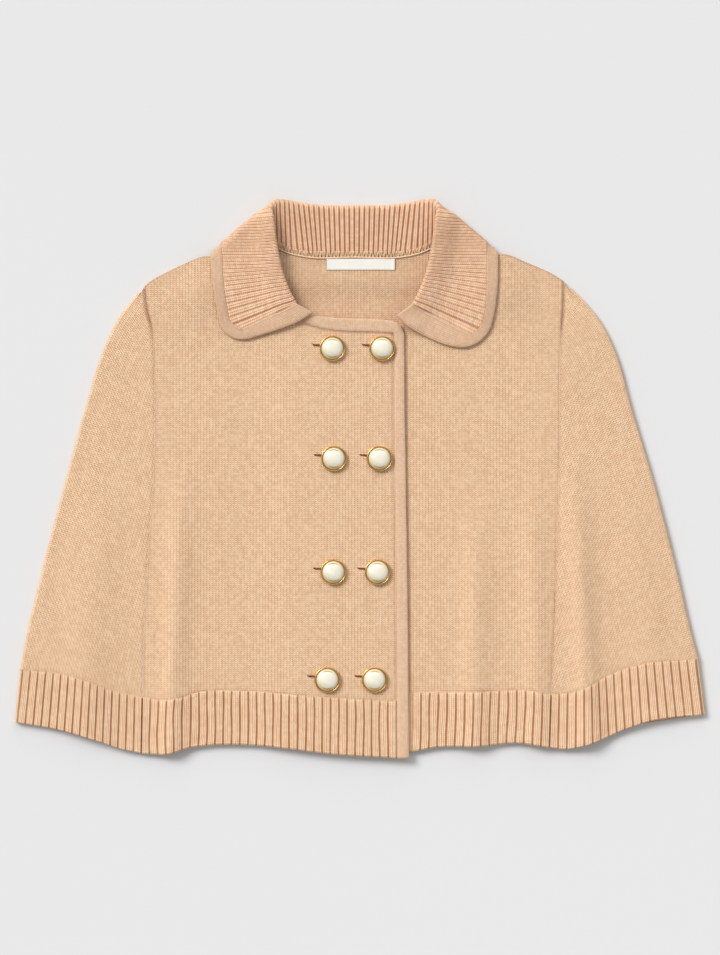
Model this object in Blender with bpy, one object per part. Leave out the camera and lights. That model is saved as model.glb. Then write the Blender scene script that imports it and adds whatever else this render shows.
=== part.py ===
"""A knitted, double-breasted capelet laid flat and buttoned, with a turned-down rib collar.

Lengths are in millimetres until a mesh is made. X runs across the garment from its centre
front, Y from the hem towards the collar and Z up from the surface that it lies on. "Right" and
"left" are the wearer's: the right front lies at -X and on top of the left front.
"""

import math

import bmesh
import bpy
import numpy as np

MM = 0.001

# Cloth
WALL = 2.2
SEAM = 0.3
LAYER_GAP = 0.3
RIB_SINK = 0.4
RIB_RISE = 1.1
RIB_SIDE = 0.16
BAND_RISE = 0.8
BAND_SEAM_GAP = 0.45

# Where the right front overlaps the left one
UNDERLAP_EDGE = -48.0
OVERLAP_STEP = 2.8
OVERLAP_SLOPE = 45.0
# The collar steps up over the overlap: from x and over what width, then down from x, and over what
COVER_STEP = (-93.0, 40.0, 46.0, 16.0)

# The collar's fall passes under the back of the neck and lifts it
NECK_LIFT = 2.8
# Where the lift begins up the garment and over what length, and how far out it ends, and over what
BACK_LIFT = (156.0, 18.0, 152.0, 22.0)
FRONT_LIFT = (125.0, 43.0, 168.0, 38.0)
FRONT_LIFT_MORE = 0.5
BODY_PUFF = 1.2
PUFF_REACH = 22.0
SHOULDER_SLOPE = 0.45
NECK_POINT = (84.0, 212.0)
NECK_POINT_RIGHT = (-84.0, 212.0)

# Collar
COLLAR_WALL = 2.0
COLLAR_RELIEF = 0.7
ROLL_RADIUS = 1.9
TRIM_WIDTH = 9.7
TRIM_WALL = 2.9
BACK_FALL = 46.0
FLOOR_MIDDLE = 1.2
FOLD_CORNER = (76.2, 242.0)
FOLD_END = (124.6, 200.6)
RIBS_HALF = 41
# The ribs are closer on the fall: rib number from the centre back, and its station on the tables
RIB_SPACING = [(0.0, 0.0), (20.0, 20.0), (47.0, RIBS_HALF)]
COLLAR_COVER = 1.1
COLLAR_COARSE = 4
# The fall settles from its roll on to the front over this length
SETTLE = 26.0
# Ribs between which the fall turns from hanging behind the neck to lying on the front
ROUND_NECK = (12.0, 19.0)
# Ribs that stand less than this high over the floor are on the underside, and stay flat
PLAIN_BELOW = 3.0
FALL_REACHES = [0.07, 0.2, 0.34, 0.48, 0.62, 0.76, 0.88, 1.0]

# Buttons
BUTTON_LIFT = 0.5
BUTTON_RADIUS = 11.25
PEARL_RADIUS = 9.8
PEARL_HEIGHT = 4.4
SHANK_RADIUS = 1.5
BUTTON_SIDES = 14

# Label
LABEL_SIZE = (60.0, 9.6, 0.6)
LABEL_CENTRE = (5.4, 187.6)

# Plan lines, each row an x and a y
RIGHT_EDGE = [(-189.3, 164.1), (-208.2, 139.0), (-224.0, 103.8), (-234.6, 68.6), (-254.0, -1.8),
              (-272.4, -72.2), (-289.2, -142.6), (-294.0, -168.1)]
LEFT_EDGE = [(189.1, 168.1), (201.0, 156.6), (215.1, 139.0), (231.8, 103.8), (241.5, 68.6),
             (262.6, -1.8), (281.1, -72.2), (297.8, -142.6), (302.2, -158.4)]
RIGHT_SEAM = [(-184.6, 168.4), (-183.0, 150.5), (-178.4, 131.1), (-176.0, 95.0), (-175.6, 24.6),
              (-181.4, -72.2), (-185.7, -160.2), (-186.2, -192.7)]
LEFT_SEAM = [(184.2, 172.6), (183.4, 150.5), (181.0, 117.0), (179.9, 24.6), (177.2, -72.2),
             (174.2, -151.4), (172.6, -190.1)]
RIGHT_SHOULDER = [(-184.6, 168.4), (-178.0, 173.8), (-167.7, 179.5), (-144.9, 190.1),
                  (-136.0, 193.6), (-129.5, 194.7), (-122.0, 194.0), (-114.0, 196.6),
                  (-104.0, 201.6), NECK_POINT_RIGHT]
LEFT_SHOULDER = [(184.2, 172.6), (174.6, 179.0), (162.3, 184.8), (149.0, 190.2), (137.6, 195.0),
                 (130.0, 196.6), (122.0, 195.0), (114.0, 197.0), (103.0, 202.6), NECK_POINT]
FRONT_NECK = [NECK_POINT, (86.4, 200.0), (84.4, 186.0), (78.4, 172.0), (69.0, 160.0),
              (58.0, 149.8)]
BACK_NECK = [NECK_POINT_RIGHT, (-72.0, 203.5), (-58.0, 197.0), (-44.0, 193.8), (0.0, 193.2),
             (44.0, 193.8), (58.0, 197.0), (72.0, 203.5), NECK_POINT]
RIGHT_SIDE_RIB = [(-186.2, -192.7), (-215.2, -185.7), (-237.2, -177.8), (-259.2, -171.6),
                  (-294.0, -168.1)]
LEFT_SIDE_RIB = [(172.6, -190.1), (198.4, -185.7), (216.0, -176.9), (233.6, -169.0),
                 (260.0, -161.9), (302.2, -158.4)]
RIGHT_FRONT_RIB = [(-186.2, -192.7), (-171.2, -194.5), (-153.6, -192.7), (-136.0, -187.4),
                   (-100.8, -186.6), (-30.4, -191.8), (36.9, -195.4)]
LEFT_FRONT_RIB = [(48.8, -188.3), (110.4, -187.4), (154.4, -186.6), (172.6, -190.1)]
RIGHT_SIDE_HEM = [(-187.1, -242.0), (-204.6, -238.5), (-225.8, -231.4), (-259.2, -221.8),
                  (-298.8, -214.7)]
LEFT_SIDE_HEM = [(171.1, -236.6), (186.0, -238.5), (196.6, -236.7), (217.8, -229.7),
                 (238.9, -220.9), (260.0, -213.8), (308.4, -207.7)]
RIGHT_FRONT_HEM = [(-187.1, -242.0), (-162.4, -242.0), (-148.4, -237.6), (-130.8, -235.0),
                   (-92.0, -234.5), (-56.8, -237.6), (-21.6, -242.0), (37.0, -245.7)]
LEFT_FRONT_HEM = [(48.8, -240.2), (69.9, -236.7), (110.4, -235.4), (143.8, -232.8),
                  (171.1, -236.6)]

NECKBAND_CORNER = (34.3, 126.5)
# The front band's two edges meet at a corner; each row an x and a y
NECKBAND_TOP = [(-56.0, 148.0), (-36.0, 142.6), (-24.0, 141.0), (-6.0, 139.9), (24.0, 139.0)]
NECKBAND_SEAM = [(-58.0, 138.5), (-38.7, 133.3), (-24.0, 130.1), (-6.0, 128.4), (12.0, 128.0),
                 (24.0, 127.4)]
BAND_EDGE_X = [(127.0, 43.4), (68.6, 44.0), (-107.4, 46.5), (-246.0, 47.8)]
BAND_SEAM_X = [(119.0, 34.4), (68.6, 34.4), (-107.4, 36.4), (-245.7, 37.0)]
BAND_CORNER = [(24.0, 139.0, 24.0, 127.4), (33.5, 137.4, 29.5, 127.0), (40.4, 133.6, 34.3, 126.5),
               (43.4, 127.0, 34.4, 119.0)]

# The band's section from its seam out: share of its width, and rise
BAND_SECTION = [(0.0, 0.0), (0.2, BAND_RISE), (0.88, BAND_RISE), (1.0, -0.2)]

# Soft folds of the fronts and sides, each running up from the hem:
# x at the hem, x at the top, y where it starts, half width, height
FOLDS = [
    (-238.0, -224.0, 30.0, 22.0, 1.6),
    (-165.0, -156.0, 46.0, 12.5, 1.9),
    (105.0, 105.0, 0.0, 15.0, 1.3),
    (160.0, 154.0, 51.0, 12.0, 1.3),
    (204.0, 187.0, 50.0, 15.0, 2.1),
    (268.8, 236.0, 40.0, 26.0, 0.8),
]
HEM_LEVEL = -240.0

# The collar's roll line and neck seam on one half, from the centre back:
# rib number, roll out, roll y, roll z, seam out, seam y
ROLL = [
    (0.0, 0.0, 238.6, 3.0, 0.0, 193.2),
    (6.6, 30.0, 239.0, 3.0, 27.0, 193.3),
    (11.0, 50.0, 241.4, 4.2, 44.0, 193.8),
    (13.6, 61.0, 243.4, 6.5, 58.0, 197.0),
    (15.6, 69.0, 243.2, 10.0, 66.5, 200.4),
    (17.4, 73.0, 238.0, 13.5, 73.5, 204.6),
    (19.4, 71.8, 229.4, 16.0, 80.0, 209.6),
    (22.0, 70.4, 220.0, 17.0, 84.4, 211.0),
    (27.0, 68.2, 203.4, 17.0, 85.4, 198.0),
    (32.0, 64.8, 186.0, 16.0, 83.0, 184.0),
    (36.0, 61.0, 173.0, 14.5, 78.4, 172.6),
    (39.0, 56.0, 161.0, 13.0, 69.6, 160.0),
    (41.0, 51.2, 152.8, 12.0, 60.6, 151.4),
]

# The line between the ribbed fall and its trim, with the fall folded out flat on the front:
# rib number, right side x out, right side y, left side x out, left side y
FALL_EDGE = [
    (15.0, 116.7, 242.0, 116.7, 242.0),
    (22.0, 116.7, 220.0, 116.7, 220.0),
    (29.0, 116.6, 196.6, 116.4, 196.6),
    (33.0, 116.2, 180.0, 116.4, 180.0),
    (36.0, 115.0, 165.0, 116.2, 162.0),
    (38.5, 112.0, 148.0, 114.6, 144.0),
    (40.0, 108.6, 136.0, 111.0, 132.6),
    (41.0, 99.0, 130.2, 102.6, 125.4),
]

# The trim's outer edge beside the same ribs and on round the tip to the collar's front end:
# step, out, y, and how far the step has come back along the end of the ribs
RIGHT_TRIM = [
    (36.0, 123.6, 164.0, 1.0),
    (38.5, 120.4, 145.0, 1.0),
    (40.0, 116.0, 130.0, 1.0),
    (41.0, 107.0, 123.0, 1.0),
    (42.0, 95.6, 121.4, 0.97),
    (43.0, 79.7, 125.8, 0.70),
    (44.0, 62.0, 131.4, 0.40),
    (45.0, 49.6, 136.4, 0.17),
    (46.0, 36.1, 144.6, 0.0),
]
LEFT_TRIM = [
    (36.0, 125.0, 161.0, 1.0),
    (38.5, 122.0, 141.0, 1.0),
    (40.0, 117.4, 127.6, 1.0),
    (41.0, 108.6, 118.6, 1.0),
    (42.0, 96.3, 114.4, 0.97),
    (43.0, 80.0, 116.6, 0.70),
    (44.0, 62.0, 124.0, 0.40),
    (45.0, 47.0, 132.4, 0.17),
    (46.0, 36.6, 142.4, 0.0),
]

# Rows of buttons: y, right column x, left column x
BUTTON_ROWS = [
    (113.5, -19.4, 24.1),
    (17.0, -18.1, 21.9),
    (-82.5, -18.6, 20.2),
    (-176.9, -23.8, 17.5),
]
# Half outline of a buttonhole from its outer end to past the shank: along, half width
BUTTONHOLE = [(-17.5, 0.5), (-14.0, 0.9), (-3.0, 2.2), (1.2, 2.2), (2.8, 0.7)]
BUTTONHOLE_RISE = 3.5
CUTTER_HEIGHTS = (0.0, 30.0)

# Materials: linear base colour, roughness, metallic
FINISHES = {
    "knit": ((0.77, 0.53, 0.35), 0.9, 0.0),
    "rib_knit": ((0.72, 0.47, 0.30), 0.9, 0.0),
    "band_knit": ((0.75, 0.51, 0.34), 0.9, 0.0),
    "collar_rib": ((0.71, 0.44, 0.28), 0.9, 0.0),
    "label_satin": ((0.93, 0.92, 0.88), 0.6, 0.0),
    "gold": ((0.80, 0.58, 0.22), 0.25, 1.0),
    "pearl": ((0.88, 0.85, 0.74), 0.2, 0.0),
}


# Curves and ramps

def ramp(value):
    """Rise smoothly from 0 to 1 as the value goes from 0 to 1."""
    value = np.clip(value, 0.0, 1.0)
    return value * value * (3.0 - 2.0 * value)


def smooth(rows, at):
    """Read a table whose first column is the place, on a cubic curve through its other columns."""
    rows = np.asarray(rows, float)
    places, values = rows[:, 0], rows[:, 1:]
    slopes = np.gradient(values, places, axis=0)
    at = np.clip(np.atleast_1d(np.asarray(at, float)), places[0], places[-1])
    low = np.clip(np.searchsorted(places, at) - 1, 0, len(places) - 2)
    span = (places[low + 1] - places[low])[:, None]
    t = (at - places[low])[:, None] / span
    start = (1 + 2 * t) * (1 - t) ** 2 * values[low] + t * (1 - t) ** 2 * span * slopes[low]
    end = t * t * (3 - 2 * t) * values[low + 1] - t * t * (1 - t) * span * slopes[low + 1]
    return start + end


def by_length(points):
    """Give each point of a line its share of the line's length, as a first column."""
    points = np.asarray(points, float)
    steps = np.linalg.norm(np.diff(points, axis=0), axis=1)
    shares = np.concatenate([[0.0], np.cumsum(steps)]) / steps.sum()
    return np.column_stack([shares, points])


def line(points):
    """Make a plan line that is read by the share of its length."""
    rows = by_length(points)
    return lambda share: smooth(rows, share)


def facets(curve, columns):
    """Read a line along the straight facets between the columns that a neighbour has."""
    corners = curve(columns)
    return lambda share: np.column_stack([np.interp(share, columns, c) for c in corners.T])


def chain(*parts):
    """Join lines that meet at corners; each part is its share of the whole and its line."""
    def read(share):
        share = np.atleast_1d(share)
        result = np.zeros((len(share), 2))
        start = 0.0
        for part, curve in parts:
            inside = (share >= start - 1e-9) & (share <= start + part + 1e-9)
            result[inside] = curve(np.clip((share[inside] - start) / part, 0.0, 1.0))
            start += part
        return result
    return read


def stops(parts):
    """Space the columns of a chain; each part is its share and how many columns it takes."""
    result = [0.0]
    for part, count in parts:
        start = result[-1]
        result.extend(start + part * (step + 1) / count for step in range(count))
    return np.array(result)


def patch(bottom, top, left, right, across, up):
    """Fill four plan lines with a grid: rows go up, columns go across."""
    low, high = bottom(across), top(across)
    near, far = left(up), right(up)
    a = across[None, :, None]
    u = up[:, None, None]
    ruled = (1 - u) * low[None] + u * high[None]
    sides = (1 - a) * near[:, None] + a * far[:, None]
    corners = ((1 - a) * (1 - u) * low[0] + a * (1 - u) * low[-1]
               + (1 - a) * u * high[0] + a * u * high[-1])
    return ruled + sides - corners


def drawn_in(plan, amount=SEAM / 2 + 0.1):
    """Draw a grid's four borders in, so that neighbours stay a seam's gap apart."""
    moved = plan.copy()
    for edge, inner in ((0, 1), (-1, -2)):
        step = plan[inner] - plan[edge]
        moved[edge] += amount * step / np.linalg.norm(step, axis=-1, keepdims=True)
        step = plan[:, inner] - plan[:, edge]
        moved[:, edge] += amount * step / np.linalg.norm(step, axis=-1, keepdims=True)
    return moved


PANEL_UP = np.array([0.0, 0.2, 0.4, 0.58, 0.72, 0.81, 0.87, 0.92, 0.96, 1.0])


# Heights of the layers

def lifted(x, y, zone):
    """Share of the collar's lift at a place."""
    start, rise, end, fade = zone
    return ramp((y - start) / rise) * ramp((end - abs(x)) / fade)


def back_top(x, y):
    """Top of the back panel, which lies flat but for the neck, where the collar lifts it."""
    return WALL + NECK_LIFT * lifted(x, y, BACK_LIFT)


def folds(x, y):
    """Height of the soft folds of the fronts and sides."""
    height = 0.0
    for hem_x, top_x, start, half_width, rise in FOLDS:
        down = np.clip((start - y) / (start - HEM_LEVEL), 0.0, 1.1)
        centre = top_x + (hem_x - top_x) * down
        height = height + rise * ramp(down * 1.3) * np.exp(-((x - centre) / half_width) ** 2)
    return height


def under_top(x, y):
    """Top of the left front and of the side panels."""
    lift = (NECK_LIFT + FRONT_LIFT_MORE) * lifted(x, y, FRONT_LIFT)
    shoulder = NECK_POINT[1] - SHOULDER_SLOPE * (abs(x) - NECK_POINT[0])
    puff = BODY_PUFF * ramp((shoulder - y) / PUFF_REACH)
    return 2 * WALL + LAYER_GAP + lift + puff + folds(x, y)


def over_top(x, y):
    """Top of the right front, which steps up over the underlap."""
    step = ramp((x - UNDERLAP_EDGE + OVERLAP_SLOPE) / OVERLAP_SLOPE)
    return under_top(x, y) + OVERLAP_STEP * step


def cover_top(x, y):
    """Top of whatever lies under the collar: front, band or underlap."""
    start, rise, end, fade = COVER_STEP
    step = ramp((x - start) / rise) * (1 - ramp((x - end) / fade))
    return under_top(x, y) + (OVERLAP_STEP + BAND_RISE) * step


# Meshes

def material(name):
    """Get a finish by its name, made once."""
    made = bpy.data.materials.get(name)
    if made is None:
        colour, roughness, metallic = FINISHES[name]
        made = bpy.data.materials.new(name)
        made.use_nodes = True
        shader = made.node_tree.nodes["Principled BSDF"]
        shader.inputs["Base Color"].default_value = (*colour, 1.0)
        shader.inputs["Roughness"].default_value = roughness
        shader.inputs["Metallic"].default_value = metallic
    return made


def solid(name, points, faces, finish):
    """Make one closed object from points in millimetres."""
    shape = bmesh.new()
    corners = [shape.verts.new([c * MM for c in point]) for point in points]
    for face in faces:
        shape.faces.new([corners[i] for i in face])
    bmesh.ops.recalc_face_normals(shape, faces=shape.faces)
    bmesh.ops.triangulate(shape, faces=shape.faces)
    mesh = bpy.data.meshes.new(name)
    shape.to_mesh(mesh)
    shape.free()
    mesh.materials.append(material(finish))
    made = bpy.data.objects.new(name, mesh)
    bpy.context.scene.collection.objects.link(made)
    return made


def walled(name, outer, inner, finish, fine=None, coarse=None):
    """Close an outer grid over an inner one, which may have fewer columns.

    The outer's first fine columns lie evenly over the inner's first coarse ones, and the rest of
    both lie one on one; left out, they take in every column.
    """
    rows, wide = outer.shape[:2]
    narrow = inner.shape[1]
    fine = fine or wide - 1
    coarse = coarse or narrow - 1
    ratio = fine // coarse
    base = rows * wide
    faces = []
    for r in range(rows - 1):
        for c in range(wide - 1):
            i = r * wide + c
            faces.append((i, i + 1, i + wide + 1, i + wide))
        for c in range(narrow - 1):
            i = base + r * narrow + c
            faces.append((i, i + narrow, i + narrow + 1, i + 1))
        for out_c, in_c in ((0, 0), (wide - 1, narrow - 1)):
            o = r * wide + out_c
            i = base + r * narrow + in_c
            faces.append((o, o + wide, i + narrow, i))
    for r in (0, rows - 1):
        for c in range(narrow - 1):
            if c < coarse:
                rim = [r * wide + c * ratio + k for k in range(ratio + 1)]
            else:
                start = fine + c - coarse
                rim = [r * wide + start, r * wide + start + 1]
            i = base + r * narrow + c
            faces.append((*rim, i + 1, i))
    points = np.concatenate([outer.reshape(-1, 3), inner.reshape(-1, 3)])
    return solid(name, points, faces, finish)


def raised(plan, height):
    """Lift a plan grid to a height."""
    return np.dstack([plan, np.broadcast_to(height, plan.shape[:2])])


def sheet(name, plan, top_of, finish="knit", thickness=WALL):
    """Make a panel from its plan grid and its top surface."""
    top = top_of(plan[..., 0], plan[..., 1])
    return walled(name, raised(plan, top), raised(plan, top - thickness), finish)


def rib_columns(count):
    """Columns of a run of ribs: shares of the run, and 1 where a rib stands up."""
    shares, relief = [0.0], [0.0]
    for rib in range(count):
        for place, stands in ((RIB_SIDE, 1.0), (1 - RIB_SIDE, 1.0), (1.0, 0.0)):
            shares.append((rib + place) / count)
            relief.append(stands)
    return np.array(shares), np.array(relief)


COLUMNS_A_RIB = 3
HEM_ROWS = np.array([0.0, 0.5, 0.95, 1.0])
HEM_RELIEF = np.array([1.0, 1.0, 1.0, 0.15])


def hem_rise(relief):
    """Height of a hem's ribs and grooves over the plain cloth, on its rows and columns."""
    return HEM_RELIEF[:, None] * (RIB_RISE * relief[None, :] - RIB_SINK)


def ribbed(name, plan, relief, top_of):
    """Make a ribbed hem: ribs on its top, and a plain underside with a column for each rib."""
    height = top_of(plan[..., 0], plan[..., 1])
    under = plan[:, ::COLUMNS_A_RIB]
    below = top_of(under[..., 0], under[..., 1]) - WALL
    return walled(name, raised(plan, height + hem_rise(relief)), raised(under, below),
                  "rib_knit")


# Back

BACK_RIB_MIDDLE = (0.0, -186.7)
BACK_HEM_MIDDLE = (0.0, -233.0)
BACK_HEM_SHORTER = 8.0


def build_back():
    """Make the back panel, its plain-sided hem and their neckline."""
    top = chain((0.22, line(RIGHT_SHOULDER)), (0.56, line(BACK_NECK)),
                (0.22, line(LEFT_SHOULDER[::-1])))
    rib_left, rib_right = RIGHT_SEAM[-1], LEFT_SEAM[-1]
    bottom = line([rib_left, BACK_RIB_MIDDLE, rib_right])
    across = stops(((0.22, 4), (0.56, 10), (0.22, 4)))
    plan = patch(bottom, top, line(RIGHT_SEAM[::-1]), line(LEFT_SEAM[::-1]), across, PANEL_UP)
    sheet("back_panel", drawn_in(plan), back_top)

    hem = line([back_hem(RIGHT_SIDE_HEM[0]), BACK_HEM_MIDDLE, back_hem(LEFT_SIDE_HEM[0])])
    left = line([hem(0.0)[0], rib_left])
    right = line([hem(1.0)[0], rib_right])
    plan = patch(hem, bottom, left, right, across, np.array([0.0, 1.0]))
    sheet("back_hem_rib", drawn_in(plan), back_top, "rib_knit")


def back_hem(point):
    """Place a point of the back's hem a little above the front's, where it is hidden."""
    return (point[0], point[1] + BACK_HEM_SHORTER)


# Fronts

def mirrored(points):
    """Mirror a plan line across the centre front."""
    return [(-x, y) for x, y in points]


def build_right_front():
    """Make the front that lies on top, with its hem and buttonholes."""
    shares = ((0.46, 7), (0.30, 6), (0.24, 5))
    neckband = NECKBAND_SEAM + [NECKBAND_CORNER]
    top = chain((0.46, line(RIGHT_SHOULDER)),
                (0.30, line(mirrored(FRONT_NECK) + [NECKBAND_SEAM[0]])),
                (0.24, line(neckband)))
    band = line([RIGHT_FRONT_RIB[-1], (36.4, -107.4), (34.4, 68.6), NECKBAND_CORNER])
    rib = line(RIGHT_FRONT_RIB)
    columns = stops(shares)
    plan = patch(rib, top, line(RIGHT_SEAM[::-1]), band, columns, PANEL_UP)
    panel = sheet("right_front_panel", drawn_in(plan), over_top)
    cut_buttonholes(panel)

    across, relief = rib_columns(31)
    hem = line(RIGHT_FRONT_HEM)
    left = line([RIGHT_FRONT_HEM[0], RIGHT_FRONT_RIB[0]])
    right = line([RIGHT_FRONT_HEM[-1], RIGHT_FRONT_RIB[-1]])
    plan = patch(hem, facets(rib, columns), left, right, across, HEM_ROWS)
    ribbed("right_front_hem_rib", drawn_in(plan), relief, over_top)


# The underlap: its neck edge, the start of its hem's top line and the hidden start of its hem
UNDERLAP_NECK = [(UNDERLAP_EDGE, 122.0), (0.0, 121.0), (30.0, 124.0), (44.0, 136.0)]
UNDERLAP_RIB = (UNDERLAP_EDGE, -186.0)
UNDERLAP_HEM = [(UNDERLAP_EDGE, -231.0), (20.0, -236.0)]
# Ribs in this first share of the left front's hem are under the right front, and stay flat
HIDDEN_RIBS = 0.45


def build_left_front():
    """Make the front that runs on under the right one, with its hem."""
    shares = ((0.34, 5), (0.26, 6), (0.40, 6))
    top = chain((0.34, line(UNDERLAP_NECK)),
                (0.26, line([UNDERLAP_NECK[-1]] + FRONT_NECK[::-1])),
                (0.40, line(LEFT_SHOULDER[::-1])))
    rib = line([UNDERLAP_RIB] + LEFT_FRONT_RIB)
    edge = line([UNDERLAP_RIB, UNDERLAP_NECK[0]])
    columns = stops(shares)
    plan = patch(rib, top, edge, line(LEFT_SEAM[::-1]), columns, PANEL_UP)
    sheet("left_front_panel", drawn_in(plan), under_top)

    shares, relief = rib_columns(29)
    relief = np.where(shares < HIDDEN_RIBS, 0.0, relief)
    hem = line(UNDERLAP_HEM + LEFT_FRONT_HEM)
    left = line([UNDERLAP_HEM[0], UNDERLAP_RIB])
    right = line([LEFT_FRONT_HEM[-1], LEFT_FRONT_RIB[-1]])
    plan = patch(hem, facets(rib, columns), left, right, shares, HEM_ROWS)
    ribbed("left_front_hem_rib", drawn_in(plan), relief, under_top)


def cut_buttonholes(panel):
    """Cut an eye-shaped slot under each button, reaching out past its outer side."""
    for row, columns in enumerate(BUTTON_ROWS):
        for column, x in enumerate(columns[1:]):
            outline = BUTTONHOLE + [(along, -side) for along, side in BUTTONHOLE[::-1]]
            reach = BUTTONHOLE[0][0]
            points = []
            for z in CUTTER_HEIGHTS:
                for along, side in outline:
                    rise = BUTTONHOLE_RISE * max(0.0, along / reach)
                    points.append((x + along, columns[0] + rise + side, z))
            count = len(outline)
            faces = [tuple(range(count)), tuple(range(count, 2 * count))]
            for i in range(count):
                j = (i + 1) % count
                faces.append((i, j, count + j, count + i))
            cutter = solid(f"buttonhole_cutter_{row}_{column}", points, faces, "knit")
            cutter.hide_render = True
            cutter.display_type = "WIRE"
            slot = panel.modifiers.new(cutter.name, "BOOLEAN")
            slot.operation = "DIFFERENCE"
            slot.solver = "EXACT"
            slot.object = cutter


def build_front_band():
    """Make the plain band along the right front's neck edge and front edge."""
    neck = np.linspace(0.0, 0.92, 9)
    top_y, bottom_y = BAND_EDGE_X[0][0], BAND_EDGE_X[-1][0]
    edge_y = top_y + (bottom_y - top_y) * np.linspace(0.07, 1.0, 15)
    seam_y = np.minimum(edge_y, BAND_SEAM_X[0][0])
    rows = np.concatenate([
        np.hstack([line(NECKBAND_TOP)(neck), line(NECKBAND_SEAM)(neck)]),
        np.array(BAND_CORNER),
        np.column_stack([smooth(BAND_EDGE_X[::-1], edge_y)[:, 0], edge_y,
                         smooth(BAND_SEAM_X[::-1], seam_y)[:, 0], seam_y])])
    outer, inner = rows[:, :2], rows[:, 2:]
    width = np.linalg.norm(outer - inner, axis=1, keepdims=True)
    inner = inner + BAND_SEAM_GAP * (outer - inner) / width
    section = np.array(BAND_SECTION)
    plan = inner[:, None] + section[None, :, :1] * (outer - inner)[:, None]
    height = over_top(plan[..., 0], plan[..., 1])
    walled("front_band", raised(plan, height + section[:, 1]), raised(plan, height - WALL),
           "band_knit")


# Side panels

BEND_STEPS = 4
FOLDED_DRAW = 0.35
BEND_BLEND = 0.75
LOWER_COLUMNS = np.linspace(0.0, 1.0, 4)
SIDE_COLUMNS = np.linspace(0.0, 1.0, 6)


def folded_side(name, seam, edge, back, top_rows, bottom_rows, up, across, relief, finish):
    """Make a wall folded round the outer edge, from the front seam to the back seam.

    The lines seam, edge and back run with up; top_rows and bottom_rows are the pairs of lines
    that end the upper and the lower layer, from the seam to the edge.
    """
    edge_points = edge(up)
    tangent = np.gradient(edge_points, up, axis=0)
    outward = np.stack([-tangent[:, 1], tangent[:, 0]], axis=1)
    outward /= np.linalg.norm(outward, axis=1, keepdims=True)
    outward *= np.sign(edge_points[:1, 0]) * np.sign(outward[:1, 0])
    radius = under_top(edge_points[:, 0], edge_points[:, 1]) / 2
    centre = edge_points - outward * radius[:, None]

    def bounded(start, ends, spots):
        """Fill one layer between its seam and the centre line of the bend."""
        low, high = (curve(spots) for curve in ends)
        plan = patch(lambda _: low, lambda _: high, lambda _: start, lambda _: edge_points,
                     spots, up)
        shift = spots[None, :, None] * (centre - edge_points)[:, None]
        return plan + shift

    upper = bounded(seam(up), top_rows, across)
    lower = bounded(back(up), bottom_rows, LOWER_COLUMNS)[:, ::-1]
    upper = drawn_in(upper, FOLDED_DRAW)
    lower = drawn_in(lower, FOLDED_DRAW)
    upper[:, -1] = centre
    ends = drawn_in(upper, FOLDED_DRAW)[:, -1]
    ends[1:-1] = centre[1:-1]
    upper[:, -1] = ends
    lower[:, 0] = ends

    height = under_top(upper[..., 0], upper[..., 1])
    blend = ramp((across - BEND_BLEND) / (1 - BEND_BLEND))[None, :]
    level = height * (1 - blend) + 2 * radius[:, None] * blend
    height = level
    columns = slice(None)
    if relief is not None:
        columns = slice(None, None, COLUMNS_A_RIB)
        height = height + hem_rise(relief) * (1 - blend)
    angles = np.linspace(math.pi / 2, -math.pi / 2, BEND_STEPS + 1)[1:-1]

    def bend(wall):
        """Go round the outer edge at a distance inside the outer surface."""
        turned = radius - wall
        plan = ends[:, None] + outward[:, None] * (turned[:, None] * np.cos(angles))[..., None]
        z = radius[:, None] + turned[:, None] * np.sin(angles)
        return raised(plan, z)

    outer_top = raised(upper, height)
    inner_top = raised(upper, level - WALL)[:, columns]
    outer = np.concatenate([outer_top, bend(0.0), raised(lower, 0.0)], axis=1)
    inner = np.concatenate([inner_top, bend(WALL), raised(lower, WALL)], axis=1)
    fine = len(across) - 1
    coarse = inner_top.shape[1] - 1
    walled(name, outer, inner, finish, fine, coarse)


def build_side(side, seam_points, edge_points, rib_points, hem_points, ribs):
    """Make one side panel and its ribbed hem."""
    seam, edge = line(seam_points[::-1]), line(edge_points[::-1])
    top = line([seam_points[0], edge_points[0]])
    bottom_rib = line([rib_points[0], rib_points[-1]])
    folded_side(f"{side}_side_panel", seam, edge, seam, (line(rib_points), top),
                (bottom_rib, top), PANEL_UP, SIDE_COLUMNS, None, "knit")

    upper_rib = facets(line(rib_points), SIDE_COLUMNS)
    shares, relief = rib_columns(ribs)
    tip = hem_points[-1]
    seam = line([hem_points[0], rib_points[0]])
    back_start = back_hem(hem_points[0])
    back = line([back_start, rib_points[0]])
    edge = line([tip, rib_points[-1]])
    folded_side(f"{side}_side_hem_rib", seam, edge, back, (line(hem_points), upper_rib),
                (line([back_start, tip]), bottom_rib), HEM_ROWS, shares, relief, "rib_knit")


# Collar

def fold_under(plan, top):
    """Fold the flat-drawn fall round the shoulder line, under the garment.

    The plan is (out, y) with the fall folded out on the front; top is its height there.
    """
    corner, end = np.array(FOLD_CORNER), np.array(FOLD_END)
    along = (end - corner) / np.linalg.norm(end - corner)
    outward = np.array([-along[1], along[0]])
    radius = (top - FLOOR_MIDDLE) / 2
    inset = COLLAR_WALL / 2
    past = (plan - corner) @ outward + inset
    turn = np.clip((past + radius) / radius, 0.0, math.pi)
    below = np.maximum(past + radius - math.pi * radius, 0.0)
    reach = np.where(past < -radius, past, -radius + radius * np.sin(turn) - below)
    height = np.where(past < -radius, top, FLOOR_MIDDLE + radius * (1 + np.cos(turn)))
    return np.dstack([plan + (reach - past)[..., None] * outward, height])


def collar_rows(ribs):
    """Read the collar's tables at rib numbers counted from the centre back."""
    roll = smooth(ROLL, ribs)
    return roll[:, 0:2], roll[:, 2], roll[:, 3:5]


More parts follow.
